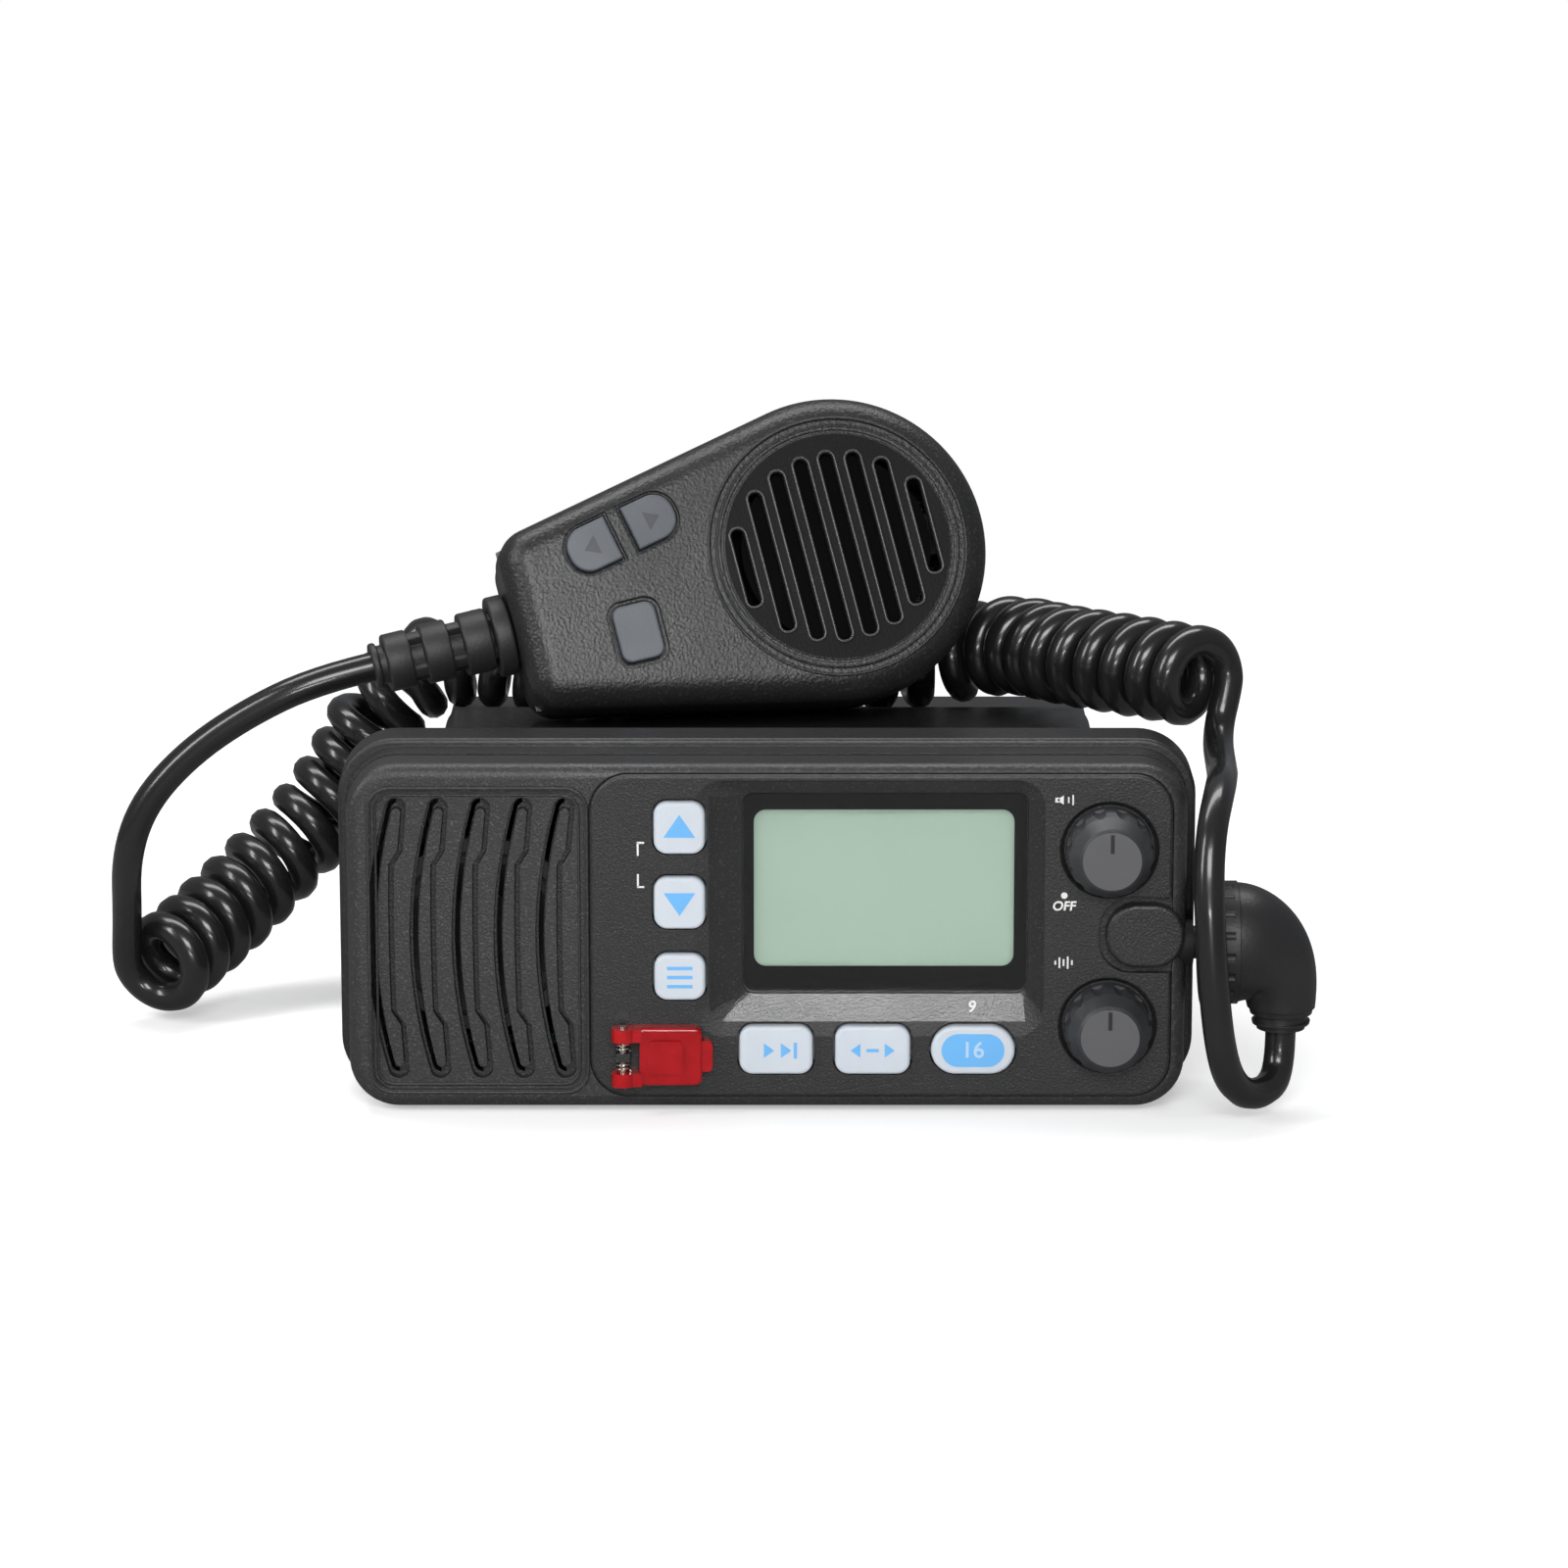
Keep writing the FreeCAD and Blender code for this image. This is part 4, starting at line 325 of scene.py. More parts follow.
lamp("key_lamp", (0.02, -0.95, 0.55), (0, 0, 0.05), 0.5, 0.34, 5.8)
lamp("strip_lamp", (-0.05, 0.18, 0.72), (0, 0, 0.03), 0.9, 0.2, 3.8)
lamp("low_card", (0, -2.0, 0.15), (0, 0, 0.04), 0.5, 0.1, 4.8)
lamp("side_lamp", (-0.7, -0.45, 0.5), (0, 0, 0.05), 0.16, 0.5, 3.0)
world = bpy.data.worlds.new("surround")
scene.world = world
world.use_nodes = True
surround = world.node_tree
surround.nodes.clear()
ray = surround.nodes.new("ShaderNodeLightPath")
seen = surround.nodes.new("ShaderNodeBackground")
seen.inputs["Color"].default_value = (1, 1, 1, 1)
ambient = surround.nodes.new("ShaderNodeBackground")
ambient.inputs["Color"].default_value = (0.94, 0.96, 1, 1)
ambient.inputs["Strength"].default_value = AMBIENT
choose = surround.nodes.new("ShaderNodeMixShader")
world_out = surround.nodes.new("ShaderNodeOutputWorld")
seen_directly = maths(surround, "MAXIMUM", ray.outputs["Is Camera Ray"],
                      ray.outputs["Is Transmission Ray"])
surround.links.new(seen_directly, choose.inputs["Fac"])
surround.links.new(ambient.outputs["Background"], choose.inputs[1])
surround.links.new(seen.outputs["Background"], choose.inputs[2])
surround.links.new(choose.outputs["Shader"], world_out.inputs["Surface"])

# Studio floor: white paper that keeps a soft shadow near the set and fades to
# plain white further off. Shiny pieces see it dark, as with a black card there.
FLOOR_SIZE = 8
FLOOR_DROP = 0.2 * MM
FLOOR_GLOW = 0.42
GLOSS_DIMMING = 0.88
GLOSS_COVER = 0.85
FADE_SPAN = (0.16, 0.42)
bpy.ops.object.select_all(action="DESELECT")
bpy.ops.mesh.primitive_plane_add(size=FLOOR_SIZE, location=(0, 0, -FLOOR_DROP))
floor = bpy.context.active_object
floor.name = "floor"
bpy.ops.object.transform_apply(location=True)
paper, tree, card = new_material("floor_paper")
card.inputs["Base Color"].default_value = (0.86, 0.86, 0.86, 1)
card.inputs["Roughness"].default_value = 0.85
card.inputs["Specular IOR Level"].default_value = 0.2
card.inputs["Emission Color"].default_value = (1, 1, 1, 1)
ray = tree.nodes.new("ShaderNodeLightPath")
by_camera = ray.outputs["Is Camera Ray"]
by_gloss = ray.outputs["Is Glossy Ray"]
tree.links.new(maths(tree, "MULTIPLY", by_camera, FLOOR_GLOW), card.inputs["Emission Strength"])
own_place = tree.nodes.new("ShaderNodeTexCoord")
away = tree.nodes.new("ShaderNodeVectorMath")
away.operation = "LENGTH"
tree.links.new(own_place.outputs["Object"], away.inputs[0])
faded = ranged(tree, away.outputs["Value"], FADE_SPAN)
plain = maths(tree, "MAXIMUM", faded, maths(tree, "MULTIPLY", by_gloss, GLOSS_COVER))
direct = maths(tree, "MAXIMUM", by_camera, by_gloss)
through = maths(tree, "MAXIMUM", direct, ray.outputs["Is Transmission Ray"])
white = tree.nodes.new("ShaderNodeEmission")
tree.links.new(maths(tree, "MULTIPLY_ADD", by_gloss, -GLOSS_DIMMING, 1), white.inputs["Strength"])
mixer = tree.nodes.new("ShaderNodeMixShader")
tree.links.new(maths(tree, "MULTIPLY", plain, through), mixer.inputs["Fac"])
tree.links.new(card.outputs["BSDF"], mixer.inputs[1])
tree.links.new(white.outputs["Emission"], mixer.inputs[2])
tree.links.new(mixer.outputs["Shader"], tree.nodes["Material Output"].inputs["Surface"])
floor.data.materials.append(paper)


# Chassis: a die-cast aluminium tub, powder coated black with a slight orange
# peel, whose wide front rim shows above and beside the plastic panel. Steel
# screws hold the case, the boards and the microphone.
def dress(material, *names):
    """Gives carried-over pieces their material."""
    for name in names:
        mesh = nodes[name].data
        mesh.materials.clear()
        mesh.materials.append(material)


# The coating's lighter specks are painted glints.
dress(moulded("cast_coating", (0.020, 0.020, 0.021), 0.36, grain=1400, depth=0.3, wear=0.15,
              gloss_wear=0.12, painted_glint=0.015, edge=0.4 * MM), "chassis")
dress(moulded("case_steel", (0.52, 0.5, 0.47), 0.3, grain=900, depth=0.05, wear=0.12,
              metallic=1, edge=0.2 * MM), "case_screws", "earth_screw", "board_screws",
      "handset_screws")

# Seals: black silicone, pressed between the panel and the chassis and between
# the loudspeaker and the panel. The microphone socket has the same black finish.
dress(moulded("gasket_silicone", (0.010, 0.010, 0.010), 0.62, grain=900, depth=0.1, wear=0.2),
      "panel_seal", "speaker_gasket", "mic_socket")

# Front panel: glass-filled plastic, its tool spark-eroded to a fine grain that is rubbed a little
# smoother in patches. Fine specks of lighter colour on it are painted glints.
panel_plastic = moulded("panel_plastic", (0.026, 0.026, 0.027), 0.4, grain=2300, depth=0.42,
                        wear=0.12, gloss_wear=0.12, painted_glint=0.05, edge=0.3 * MM)
dress(panel_plastic, "front_panel", "grille_louvres")

# Grille rails: two moulded beads, one inside the other, that frame the sunk
# grille field. They are half round and as finely grained as the panel.
FRONT = -55 * MM
FACE = FRONT + 0.8 * MM


def rounded_outline(name, edges, corner, depth, corner_steps=8):
    """Outline of a rounded rectangle on the front, given by its left, right, low and high edge."""
    left, right, low, high = edges
    bpy.ops.object.select_all(action="DESELECT")
    bpy.ops.mesh.primitive_plane_add(size=1, rotation=(math.pi / 2, 0, 0),
                                     location=((left + right) / 2 * MM, depth,
                                               (low + high) / 2 * MM))
    piece = bpy.context.active_object
    piece.name = name
    piece.scale = ((right - left) * MM, (high - low) * MM, 1)
    bpy.ops.object.transform_apply(location=True, rotation=True, scale=True)
    bpy.ops.object.mode_set(mode="EDIT")
    bpy.ops.mesh.select_all(action="SELECT")
    bpy.ops.mesh.bevel(affect="VERTICES", offset=corner * MM, segments=corner_steps)
    bpy.ops.mesh.select_all(action="SELECT")
    bpy.ops.mesh.delete(type="ONLY_FACE")
    bpy.ops.object.mode_set(mode="OBJECT")
    return piece


def beaded(outline, radius, roundness=3):
    """Turns the outline that was just made into a round bead along it."""
    bpy.ops.object.convert(target="CURVE")
    outline.data.bevel_depth = radius * MM
    outline.data.bevel_resolution = roundness
    bpy.ops.object.convert(target="MESH")
    bpy.ops.object.shade_smooth()
    return outline


def belongs(piece, body, material):
    """A new piece's finish, body and material slot."""
    piece.data.materials.clear()
    piece.data.materials.append(material)
    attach(piece, body)


for name, edges, corner, depth, radius in (
        ("grille_outer_rail", (-71.9, -32.4, 3.8, 60.6), 4.0, FACE, 0.34),
        ("grille_inner_rail", (-70.6, -33.9, 5.1, 59.1), 3.0, FACE + 1.0 * MM, 0.28)):
    belongs(beaded(rounded_outline(name, edges, corner, depth), radius), "radio",
            panel_plastic)

# Loudspeaker: a black cone in an enamelled steel basket with its magnet, seated
# on a gasket behind the louvres. The microphone's capsule has the same enamel.
dress(moulded("speaker_cloth", (0.012, 0.012, 0.012), 0.8, grain=1800, depth=0.3), "speaker_cone")
dress(moulded("speaker_enamel", (0.012, 0.012, 0.012), 0.6, depth=0.05, specular=0.2),
      "speaker_frame", "speaker_magnet", "handset_capsule")

# Control fascia: a separate textured plate snapped into the panel, with a
# dish that falls towards the display window.
# The fascia's lighter specks are painted glints.
fascia_plastic = moulded("fascia_plastic", (0.019, 0.019, 0.0195), 0.38, grain=2600, depth=0.4,
                         wear=0.12, gloss_wear=0.1, painted_glint=0.04, edge=0.3 * MM)
dress(fascia_plastic, "control_fascia", "socket_cover")

# White legends: pad-printed ink a few hundredths of a millimetre thick, on the
# fascia beside the controls. Only plain symbols, a nine and OFF are printed.
INK_THICK = 0.05 * MM
INK_SPREAD = 0.06 * MM
MERGE_REACH = 0.002 * MM
TYPE_SIZE = 1.4
TYPE_SLANT = 0.15
EDGE_SHARE = 0.4
white_ink = moulded("white_ink", (0.72, 0.72, 0.70), 0.55, grain=3000, depth=0.05, wear=0.06)
blue_ink = moulded("blue_ink", (0.13, 0.42, 0.80), 0.45, grain=3000, depth=0.05, wear=0.06)
pale_ink = moulded("pale_ink", (0.42, 0.60, 0.80), 0.45, grain=3000, depth=0.05, wear=0.06)


def printed(name, words, x, z, tall, depth, slant=0.0):
    """Lettering as a thin solid that stands on the front."""
    bpy.ops.object.select_all(action="DESELECT")
    bpy.ops.object.text_add()
    piece = bpy.context.active_object
    piece.name = name
    piece.data.body = words
    piece.data.size = tall * TYPE_SIZE * MM
    piece.data.align_x = "CENTER"
    piece.data.align_y = "CENTER"
    piece.data.shear = slant
    piece.data.offset = INK_SPREAD
    piece.data.extrude = INK_THICK / 2
    bpy.ops.object.convert(target="MESH")
    piece.rotation_euler = (math.pi / 2, 0, 0)
    piece.location = (x * MM, depth - INK_THICK / 2, z * MM)
    bpy.ops.object.transform_apply(location=True, rotation=True, scale=True)
    bpy.ops.object.mode_set(mode="EDIT")
    bpy.ops.mesh.select_all(action="SELECT")
    bpy.ops.mesh.remove_doubles(threshold=MERGE_REACH)
    bpy.ops.mesh.normals_make_consistent(inside=False)
    bpy.ops.object.mode_set(mode="OBJECT")
    return piece


def alone(piece):
    """Selects one piece only, and makes it active."""
    bpy.ops.object.select_all(action="DESELECT")
    piece.select_set(True)
    bpy.context.view_layer.objects.active = piece


def placed(piece, place):
    """Takes a piece's mesh to its place and leaves the object at the origin."""
    alone(piece)
    piece.matrix_world = place
    bpy.ops.object.transform_apply(location=True, rotation=True, scale=True)
    return piece


def pick(piece, kind, chosen):
    """Selects in edit mode the faces, edges or vertices that a test accepts."""
    alone(piece)
    bpy.ops.object.mode_set(mode="EDIT")
    bpy.ops.mesh.select_mode(type=kind)
    bpy.ops.mesh.select_all(action="DESELECT")
    bpy.ops.object.mode_set(mode="OBJECT")
    parts = {"FACE": piece.data.polygons, "EDGE": piece.data.edges, "VERT": piece.data.vertices}
    for part in parts[kind]:
        part.select = chosen(part)
    bpy.ops.object.mode_set(mode="EDIT")


def flat_form(name, sides, x, z, width, tall, depth, turn=0.0, thick=INK_THICK):
    """Thin polygon with a softened front edge: three sides for an arrow, four for a bar."""
    bpy.ops.object.select_all(action="DESELECT")
    if sides == 4:
        bpy.ops.mesh.primitive_cube_add(size=1)
    else:
        bpy.ops.mesh.primitive_cylinder_add(vertices=sides, radius=0.5, depth=1,
                                            rotation=(math.pi / 2, 0, 0))
    piece = bpy.context.active_object
    piece.name = name
    bpy.ops.object.transform_apply(rotation=True)
    placed(piece, Matrix.Diagonal((width * MM, thick, tall * MM, 1)))
    pick(piece, "FACE", lambda face: face.normal.y < -0.9)
    bpy.ops.mesh.region_to_loop()
    bpy.ops.mesh.bevel(offset=thick * EDGE_SHARE, segments=2)
    bpy.ops.object.mode_set(mode="OBJECT")
    return placed(piece, Matrix.Translation((x * MM, depth - thick / 2, z * MM))
                  @ Matrix.Rotation(turn, 4, "Y"))


def combined(name, *parts):
    """Several small forms as one piece."""
    bpy.ops.object.select_all(action="DESELECT")
    for part in parts:
        part.select_set(True)
    bpy.context.view_layer.objects.active = parts[0]
    bpy.ops.object.join()
    parts[0].name = name
    return parts[0]


# Bracket legend: two hooked lines that tie the up and down keys together,
# printed white on the fascia to the left of them.
BRACKET_X = -23.2
BRACKET_TOP = 49.6
BRACKET_LOW = 43.6
BRACKET_LINE = 0.36
bracket = []
for z, way in ((BRACKET_TOP, -1), (BRACKET_LOW, 1)):
    bracket.append(flat_form("line", 4, BRACKET_X, z + way * 0.1, BRACKET_LINE, 2.4, FRONT))
    bracket.append(flat_form("line", 4, BRACKET_X + 0.5, z - way * 1.1, 1.3, BRACKET_LINE, FRONT))
belongs(combined("bracket_legend", *bracket), "radio", white_ink)

# Nine and OFF: the nine is printed on the slope above the lower keys, and OFF
# with its dot below and to the left of the volume knob.
NINE_PLACE = Vector((37.1, -54.25, 19.9)) * MM
NINE_TILT = math.radians(-8.75)
OFF_X, OFF_Z = 53.6, 38.9
DOT_X, DOT_Z = 53.7, 40.9
DOT_SIZE = 1.2
nine = placed(printed("nine_legend", "9", 0, 0, 2.1, 0, TYPE_SLANT),
              Matrix.Translation(NINE_PLACE) @ Matrix.Rotation(NINE_TILT, 4, "X"))
belongs(nine, "radio", white_ink)
belongs(printed("off_legend", "OFF", OFF_X, OFF_Z, 1.7, FRONT, TYPE_SLANT), "radio",
        white_ink)
belongs(flat_form("off_dot", 20, DOT_X, DOT_Z, DOT_SIZE, DOT_SIZE, FRONT), "radio",
        white_ink)

# Knob legends: a small loudspeaker with two waves above the volume knob, and a
# burst of noise bars above the squelch knob, both printed white.
SPEAKER_X, SPEAKER_Z = 52.3, 58.6
WAVE_X, WAVE_PITCH = 54.3, 0.8
NOISE_X, NOISE_Z, NOISE_PITCH = 52.2, 28.4, 0.75
speaker_mark = [flat_form("body", 4, SPEAKER_X, SPEAKER_Z, 0.8, 0.9, FRONT),
                flat_form("horn", 3, SPEAKER_X + 0.7, SPEAKER_Z, 2.0, 1.7, FRONT, -math.pi / 2)]
for k, tall in enumerate((1.1, 1.9)):
    speaker_mark.append(flat_form("wave", 4, WAVE_X + k * WAVE_PITCH, SPEAKER_Z, 0.28, tall,
                                  FRONT))
belongs(combined("volume_legend", *speaker_mark), "radio", white_ink)
noise_mark = [flat_form("bar", 4, NOISE_X + k * NOISE_PITCH, NOISE_Z, 0.32, tall, FRONT)
              for k, tall in enumerate((0.8, 2.0, 1.3, 2.3, 0.9))]
belongs(combined("squelch_legend", *noise_mark), "radio", white_ink)

# Display: a thick clear window printed black behind its edge, over a green liquid-crystal cell in
# a white holder. The cell's faint glow is painted light.
CELL_PAINTED_GLOW = 0.28
lens_clear, tree, glass = new_material("lens_clear")
glass.inputs["Base Color"].default_value = (0.97, 0.985, 0.97, 1)
glass.inputs["Transmission Weight"].default_value = 1
glass.inputs["Roughness"].default_value = 0.02
glass.inputs["IOR"].default_value = 1.46
smears = grained(tree, 2400, 60)
tree.links.new(ranged(tree, smears.outputs["Wear"], to=(0.01, 0.05)), glass.inputs["Roughness"])
dress(lens_clear, "display_lens")
cell = moulded("lcd_cell", (0.41, 0.53, 0.44), 0.3, grain=1800, depth=0.02, wear=0.04,
               gloss_wear=0.04, wear_scale=18)
cell_shader = cell.node_tree.nodes["Principled BSDF"]
# Painted glow: a faint light in the cell's own green, which brightens it under the window.
cell_shader.inputs["Emission Color"].default_value = (0.40, 0.53, 0.45, 1)
cell_shader.inputs["Emission Strength"].default_value = CELL_PAINTED_GLOW
dress(cell, "lcd_glass")
dress(moulded("cell_holder_white", (0.7, 0.71, 0.69), 0.5, grain=1500, depth=0.1), "lcd_holder")

# Display mask: the black print behind the window's edge, which leaves the cell
# showing through a rounded opening.
LENS_FRONT = FRONT + 1.2 * MM
LENS_BACK = LENS_FRONT + 1.6 * MM
MASK_OUTER = (-4.2, 47.0, 22.5, 59.5)
MASK_OPENING = (-2.3, 44.7, 27.2, 56.3)
MASK_THICK = 0.05 * MM
MASK_GAP = 0.012 * MM
mask_ink = moulded("mask_ink", (0.003, 0.003, 0.0035), 0.4, grain=3000, depth=0.01, wear=0.1,
                   specular=0.1)


def window_frame(name, outer, inner, outer_corner, inner_corner, depth, thick):
    """Flat frame with a rounded window, from two rounded rectangles."""
    piece = combined(name, rounded_outline("outer", outer, outer_corner, depth),
                     rounded_outline("inner", inner, inner_corner, depth))
    bpy.ops.object.mode_set(mode="EDIT")
    bpy.ops.mesh.select_all(action="SELECT")
    bpy.ops.mesh.bridge_edge_loops()
    bpy.ops.mesh.select_all(action="SELECT")
    bpy.ops.mesh.extrude_region_move(TRANSFORM_OT_translate={"value": (0, thick, 0)})
    bpy.ops.mesh.select_all(action="SELECT")
    bpy.ops.mesh.normals_make_consistent(inside=False)
    bpy.ops.object.mode_set(mode="OBJECT")
    return piece


belongs(window_frame("display_mask", MASK_OUTER, MASK_OPENING, 2.0, 2.2, LENS_BACK + MASK_GAP,
                     MASK_THICK), "radio", mask_ink)

# Dish trim: the polished, piano-black inlay that lines the sloping dish round
# the window. It is moulded separately and pressed onto the fascia.
TRIM_OUTER = (-10.4, 50.0, 17.3, 62.0)
TRIM_OPENING = (-4.4, 47.2, 22.3, 59.7)
TRIM_THICK = 0.04 * MM
TRIM_PROUD = 0.06 * MM
DISH_SINK = 1.2 * MM
DISH_LEFT, DISH_RIGHT, DISH_LOW, DISH_HIGH = -13, 50.2, 14.6, 62.2
LEFT_RUN, RIGHT_RUN, LOW_RUN, HIGH_RUN = 8.7, 3.1, 7.8, 2.6
# The trim's lighter specks are painted glints.
dish_gloss = moulded("dish_gloss", (0.020, 0.020, 0.021), 0.17, grain=2600, depth=0.1,
                     wear=0.1, gloss_wear=0.04, painted_glint=0.03)
dish_trim = window_frame("dish_trim", TRIM_OUTER, TRIM_OPENING, 3.0, 2.1, FRONT - TRIM_PROUD,
                         TRIM_THICK)
for vertex in dish_trim.data.vertices:
    x, z = vertex.co.x / MM, vertex.co.z / MM
    shares = ((x - DISH_LEFT) / LEFT_RUN, (DISH_RIGHT - x) / RIGHT_RUN,
              (z - DISH_LOW) / LOW_RUN, (DISH_HIGH - z) / HIGH_RUN)
    vertex.co.y += DISH_SINK * max(0, min(1, *shares))
belongs(dish_trim, "radio", dish_gloss)

# Keys: translucent silicone caps, pale grey-blue, on one rubber mat behind the
# fascia. They are a little worn at the edges.
key_silicone = moulded("key_silicone", (0.56, 0.605, 0.66), 0.42, grain=2200, depth=0.1,
                       wear=0.05, edge=0.35 * MM)
silicone = key_silicone.node_tree.nodes["Principled BSDF"]
silicone.inputs["Subsurface Weight"].default_value = 0.15
silicone.inputs["Subsurface Scale"].default_value = 1.5 * MM
dress(key_silicone, "key_up", "key_down", "key_menu", "key_scan", "key_channel", "key_sixteen")
dress(moulded("mat_silicone", (0.06, 0.06, 0.065), 0.6, grain=1500, depth=0.1), "keypad_mat")

# Key marks: plain symbols printed in light blue on the caps. The last key has a
# long blue field with 16 in a paler blue on it.
KEY_FRONT = FRONT - 1.1 * MM
COLUMN_X = -15.7
ROW_Z = 12.2
UP_Z, DOWN_Z, MENU_Z = 53.3, 40.2, 25.9
SCAN_X, SCAN_PITCH, STOP_X = 0.1, 3.1, 5.2
CHANNEL_X, CHANNEL_REACH = 19.2, 2.8
SIXTEEN_X = 37.4
FIELD_ROUND, FIELD_STRETCH = 6.2, 2.6
ARROW_WIDTH, ARROW_TALL = 6.6, 5.6
belongs(flat_form("up_mark", 3, COLUMN_X, UP_Z, ARROW_WIDTH, ARROW_TALL, KEY_FRONT),
        "key_up_body", blue_ink)
belongs(flat_form("down_mark", 3, COLUMN_X, DOWN_Z, ARROW_WIDTH, ARROW_TALL, KEY_FRONT, math.pi),
        "key_down_body", blue_ink)
menu_mark = [flat_form("bar", 4, COLUMN_X, MENU_Z + rise, 4.6, 0.62, KEY_FRONT)
             for rise in (-1.7, 0, 1.7)]
belongs(combined("menu_mark", *menu_mark), "key_menu_body", blue_ink)
scan_mark = [flat_form("arrow", 3, SCAN_X + k * SCAN_PITCH, ROW_Z, 3.2, 2.5, KEY_FRONT,
                       math.pi / 2) for k in range(2)]
scan_mark.append(flat_form("stop", 4, STOP_X, ROW_Z, 0.6, 3.0, KEY_FRONT))
belongs(combined("scan_mark", *scan_mark), "key_scan_body", blue_ink)
channel_mark = [flat_form("arrow", 3, CHANNEL_X - CHANNEL_REACH, ROW_Z, 3.0, 2.4, KEY_FRONT,
                          -math.pi / 2),
                flat_form("middle", 4, CHANNEL_X, ROW_Z, 2.2, 0.6, KEY_FRONT),
                flat_form("arrow", 3, CHANNEL_X + CHANNEL_REACH, ROW_Z, 3.0, 2.4, KEY_FRONT,
                          math.pi / 2)]
belongs(combined("channel_mark", *channel_mark), "key_channel_body", blue_ink)
field = flat_form("sixteen_field", 48, SIXTEEN_X, ROW_Z, FIELD_ROUND, FIELD_ROUND, KEY_FRONT)
for way in (-1, 1):
    pick(field, "VERT", lambda vertex: (vertex.co.x / MM - SIXTEEN_X) * way > 0)
    bpy.ops.transform.translate(value=(way * FIELD_STRETCH * MM, 0, 0))
    bpy.ops.object.mode_set(mode="OBJECT")
belongs(field, "key_sixteen_body", blue_ink)
belongs(printed("sixteen_mark", "16", SIXTEEN_X, ROW_Z, 3.0, KEY_FRONT - INK_THICK),
        "key_sixteen_body", pale_ink)

# Distress lid: a clear red polycarbonate cup over the red button, hinged on a
# bright steel pin with a small torsion spring each side of the post.
lid_red, tree, red = new_material("lid_red")
red.inputs["Transmission Weight"].default_value = 0.2
red.inputs["IOR"].default_value = 1.5
red.inputs["Coat Weight"].default_value = 0.3
red.inputs["Coat Roughness"].default_value = 0.04
streaks = grained(tree, 2400, 160)
depths = two_colours(tree, streaks.outputs["Wear"], (0.38, 0.002, 0.005, 1),
                     (0.54, 0.006, 0.011, 1))
tree.links.new(depths, red.inputs["Base Color"])
tree.links.new(ranged(tree, streaks.outputs["Wear"], to=(0.08, 0.16)), red.inputs["Roughness"])
dress(lid_red, "distress_lid")
dress(moulded("button_red", (0.55, 0.012, 0.016), 0.35, depth=0.1, edge=0.3 * MM),
      "distress_button")
dress(moulded("pin_steel", (0.78, 0.74, 0.66), 0.22, grain=1200, depth=0.03, metallic=1),
      "lid_pin", "lid_spring")

# Knobs: soft black rubber over a plastic core, matt on the flat face and
# shinier where fingers rub the skirt. Each turns a metal control on a nut.
dress(moulded("knob_rubber", (0.036, 0.037, 0.040), 0.46, grain=1800, depth=0.12, wear=0.18,
              gloss_wear=0.14, wear_scale=120, edge=0.5 * MM), "volume_knob", "squelch_knob")
dress(moulded("control_metal", (0.45, 0.45, 0.44), 0.35, metallic=1, depth=0.05),
      "knob_controls", "knob_nuts")

# Knob faces: a thin grey disc bonded to each knob's front, with a dark index
# line printed near its edge.
KNOB_X = 61.8
KNOB_TIP = -63.8
DISC_SIZE = 10.6
DISC_THICK = 0.08
INDEX_WIDTH, INDEX_LONG, INDEX_RISE = 0.7, 3.4, 3.2
face_grey = moulded("face_grey", (0.085, 0.085, 0.09), 0.5, grain=2600, depth=0.1, wear=0.08)
index_black = moulded("index_black", (0.012, 0.012, 0.012), 0.5, grain=2600, depth=0.05)
for knob, height in (("volume", 49.3), ("squelch", 16.6)):
    body = knob + "_knob_body"
    disc = flat_form(knob + "_face", 64, KNOB_X, height, DISC_SIZE, DISC_SIZE, KNOB_TIP * MM, 0,
                     DISC_THICK * MM)
    belongs(disc, body, face_grey)
    line = flat_form(knob + "_index", 4, KNOB_X, height + INDEX_RISE, INDEX_WIDTH, INDEX_LONG,
                     (KNOB_TIP - DISC_THICK) * MM)
    belongs(line, body, index_black)

# Plug: a black rubber hood moulded onto the cord, with a knurled locking collar.
# It fills the microphone socket in the panel's right side.
dress(moulded("plug_rubber", (0.018, 0.018, 0.019), 0.4, grain=1600, depth=0.18, wear=0.2,
              gloss_wear=0.14, edge=0.3 * MM), "plug_collar", "plug_hood")

# Rear fittings: nickel-plated antenna socket with a white insulator, gold
# contact, and a black gland for the power lead.
dress(moulded("socket_nickel", (0.66, 0.64, 0.6), 0.24, grain=900, depth=0.04, wear=0.08,
              metallic=1, edge=0.2 * MM), "antenna_socket")
dress(moulded("insulator", (0.78, 0.76, 0.7), 0.4, grain=1200, depth=0.05), "antenna_insulator")
dress(moulded("contact_gold", (0.78, 0.56, 0.22), 0.22, grain=1000, depth=0.03, metallic=1),
      "antenna_contact")
dress(moulded("gland_rubber", (0.015, 0.015, 0.015), 0.5, grain=1400, depth=0.2), "power_gland")

# Boards and power stage, shut inside the case: green laminate, a tinned shield and stand-offs, and
# a black power module. The microphone's own loudspeaker and board get a dead, unreflecting black:
# painted shade for what shows through its openings.
dress(moulded("board_laminate", (0.02, 0.12, 0.05), 0.35, grain=1600, depth=0.08, wear=0.15),
      "control_board", "main_board")
dress(moulded("tinned_steel", (0.6, 0.6, 0.58), 0.35, metallic=1, depth=0.04), "rf_shield",
      "board_standoffs")
dress(moulded("module_body", (0.03, 0.03, 0.03), 0.5, depth=0.1), "power_module",
      "talk_switch")
dress(moulded("painted_shade_black", (0.003, 0.003, 0.003), 0.9, depth=0.1, specular=0.1),
      "handset_speaker", "handset_board")
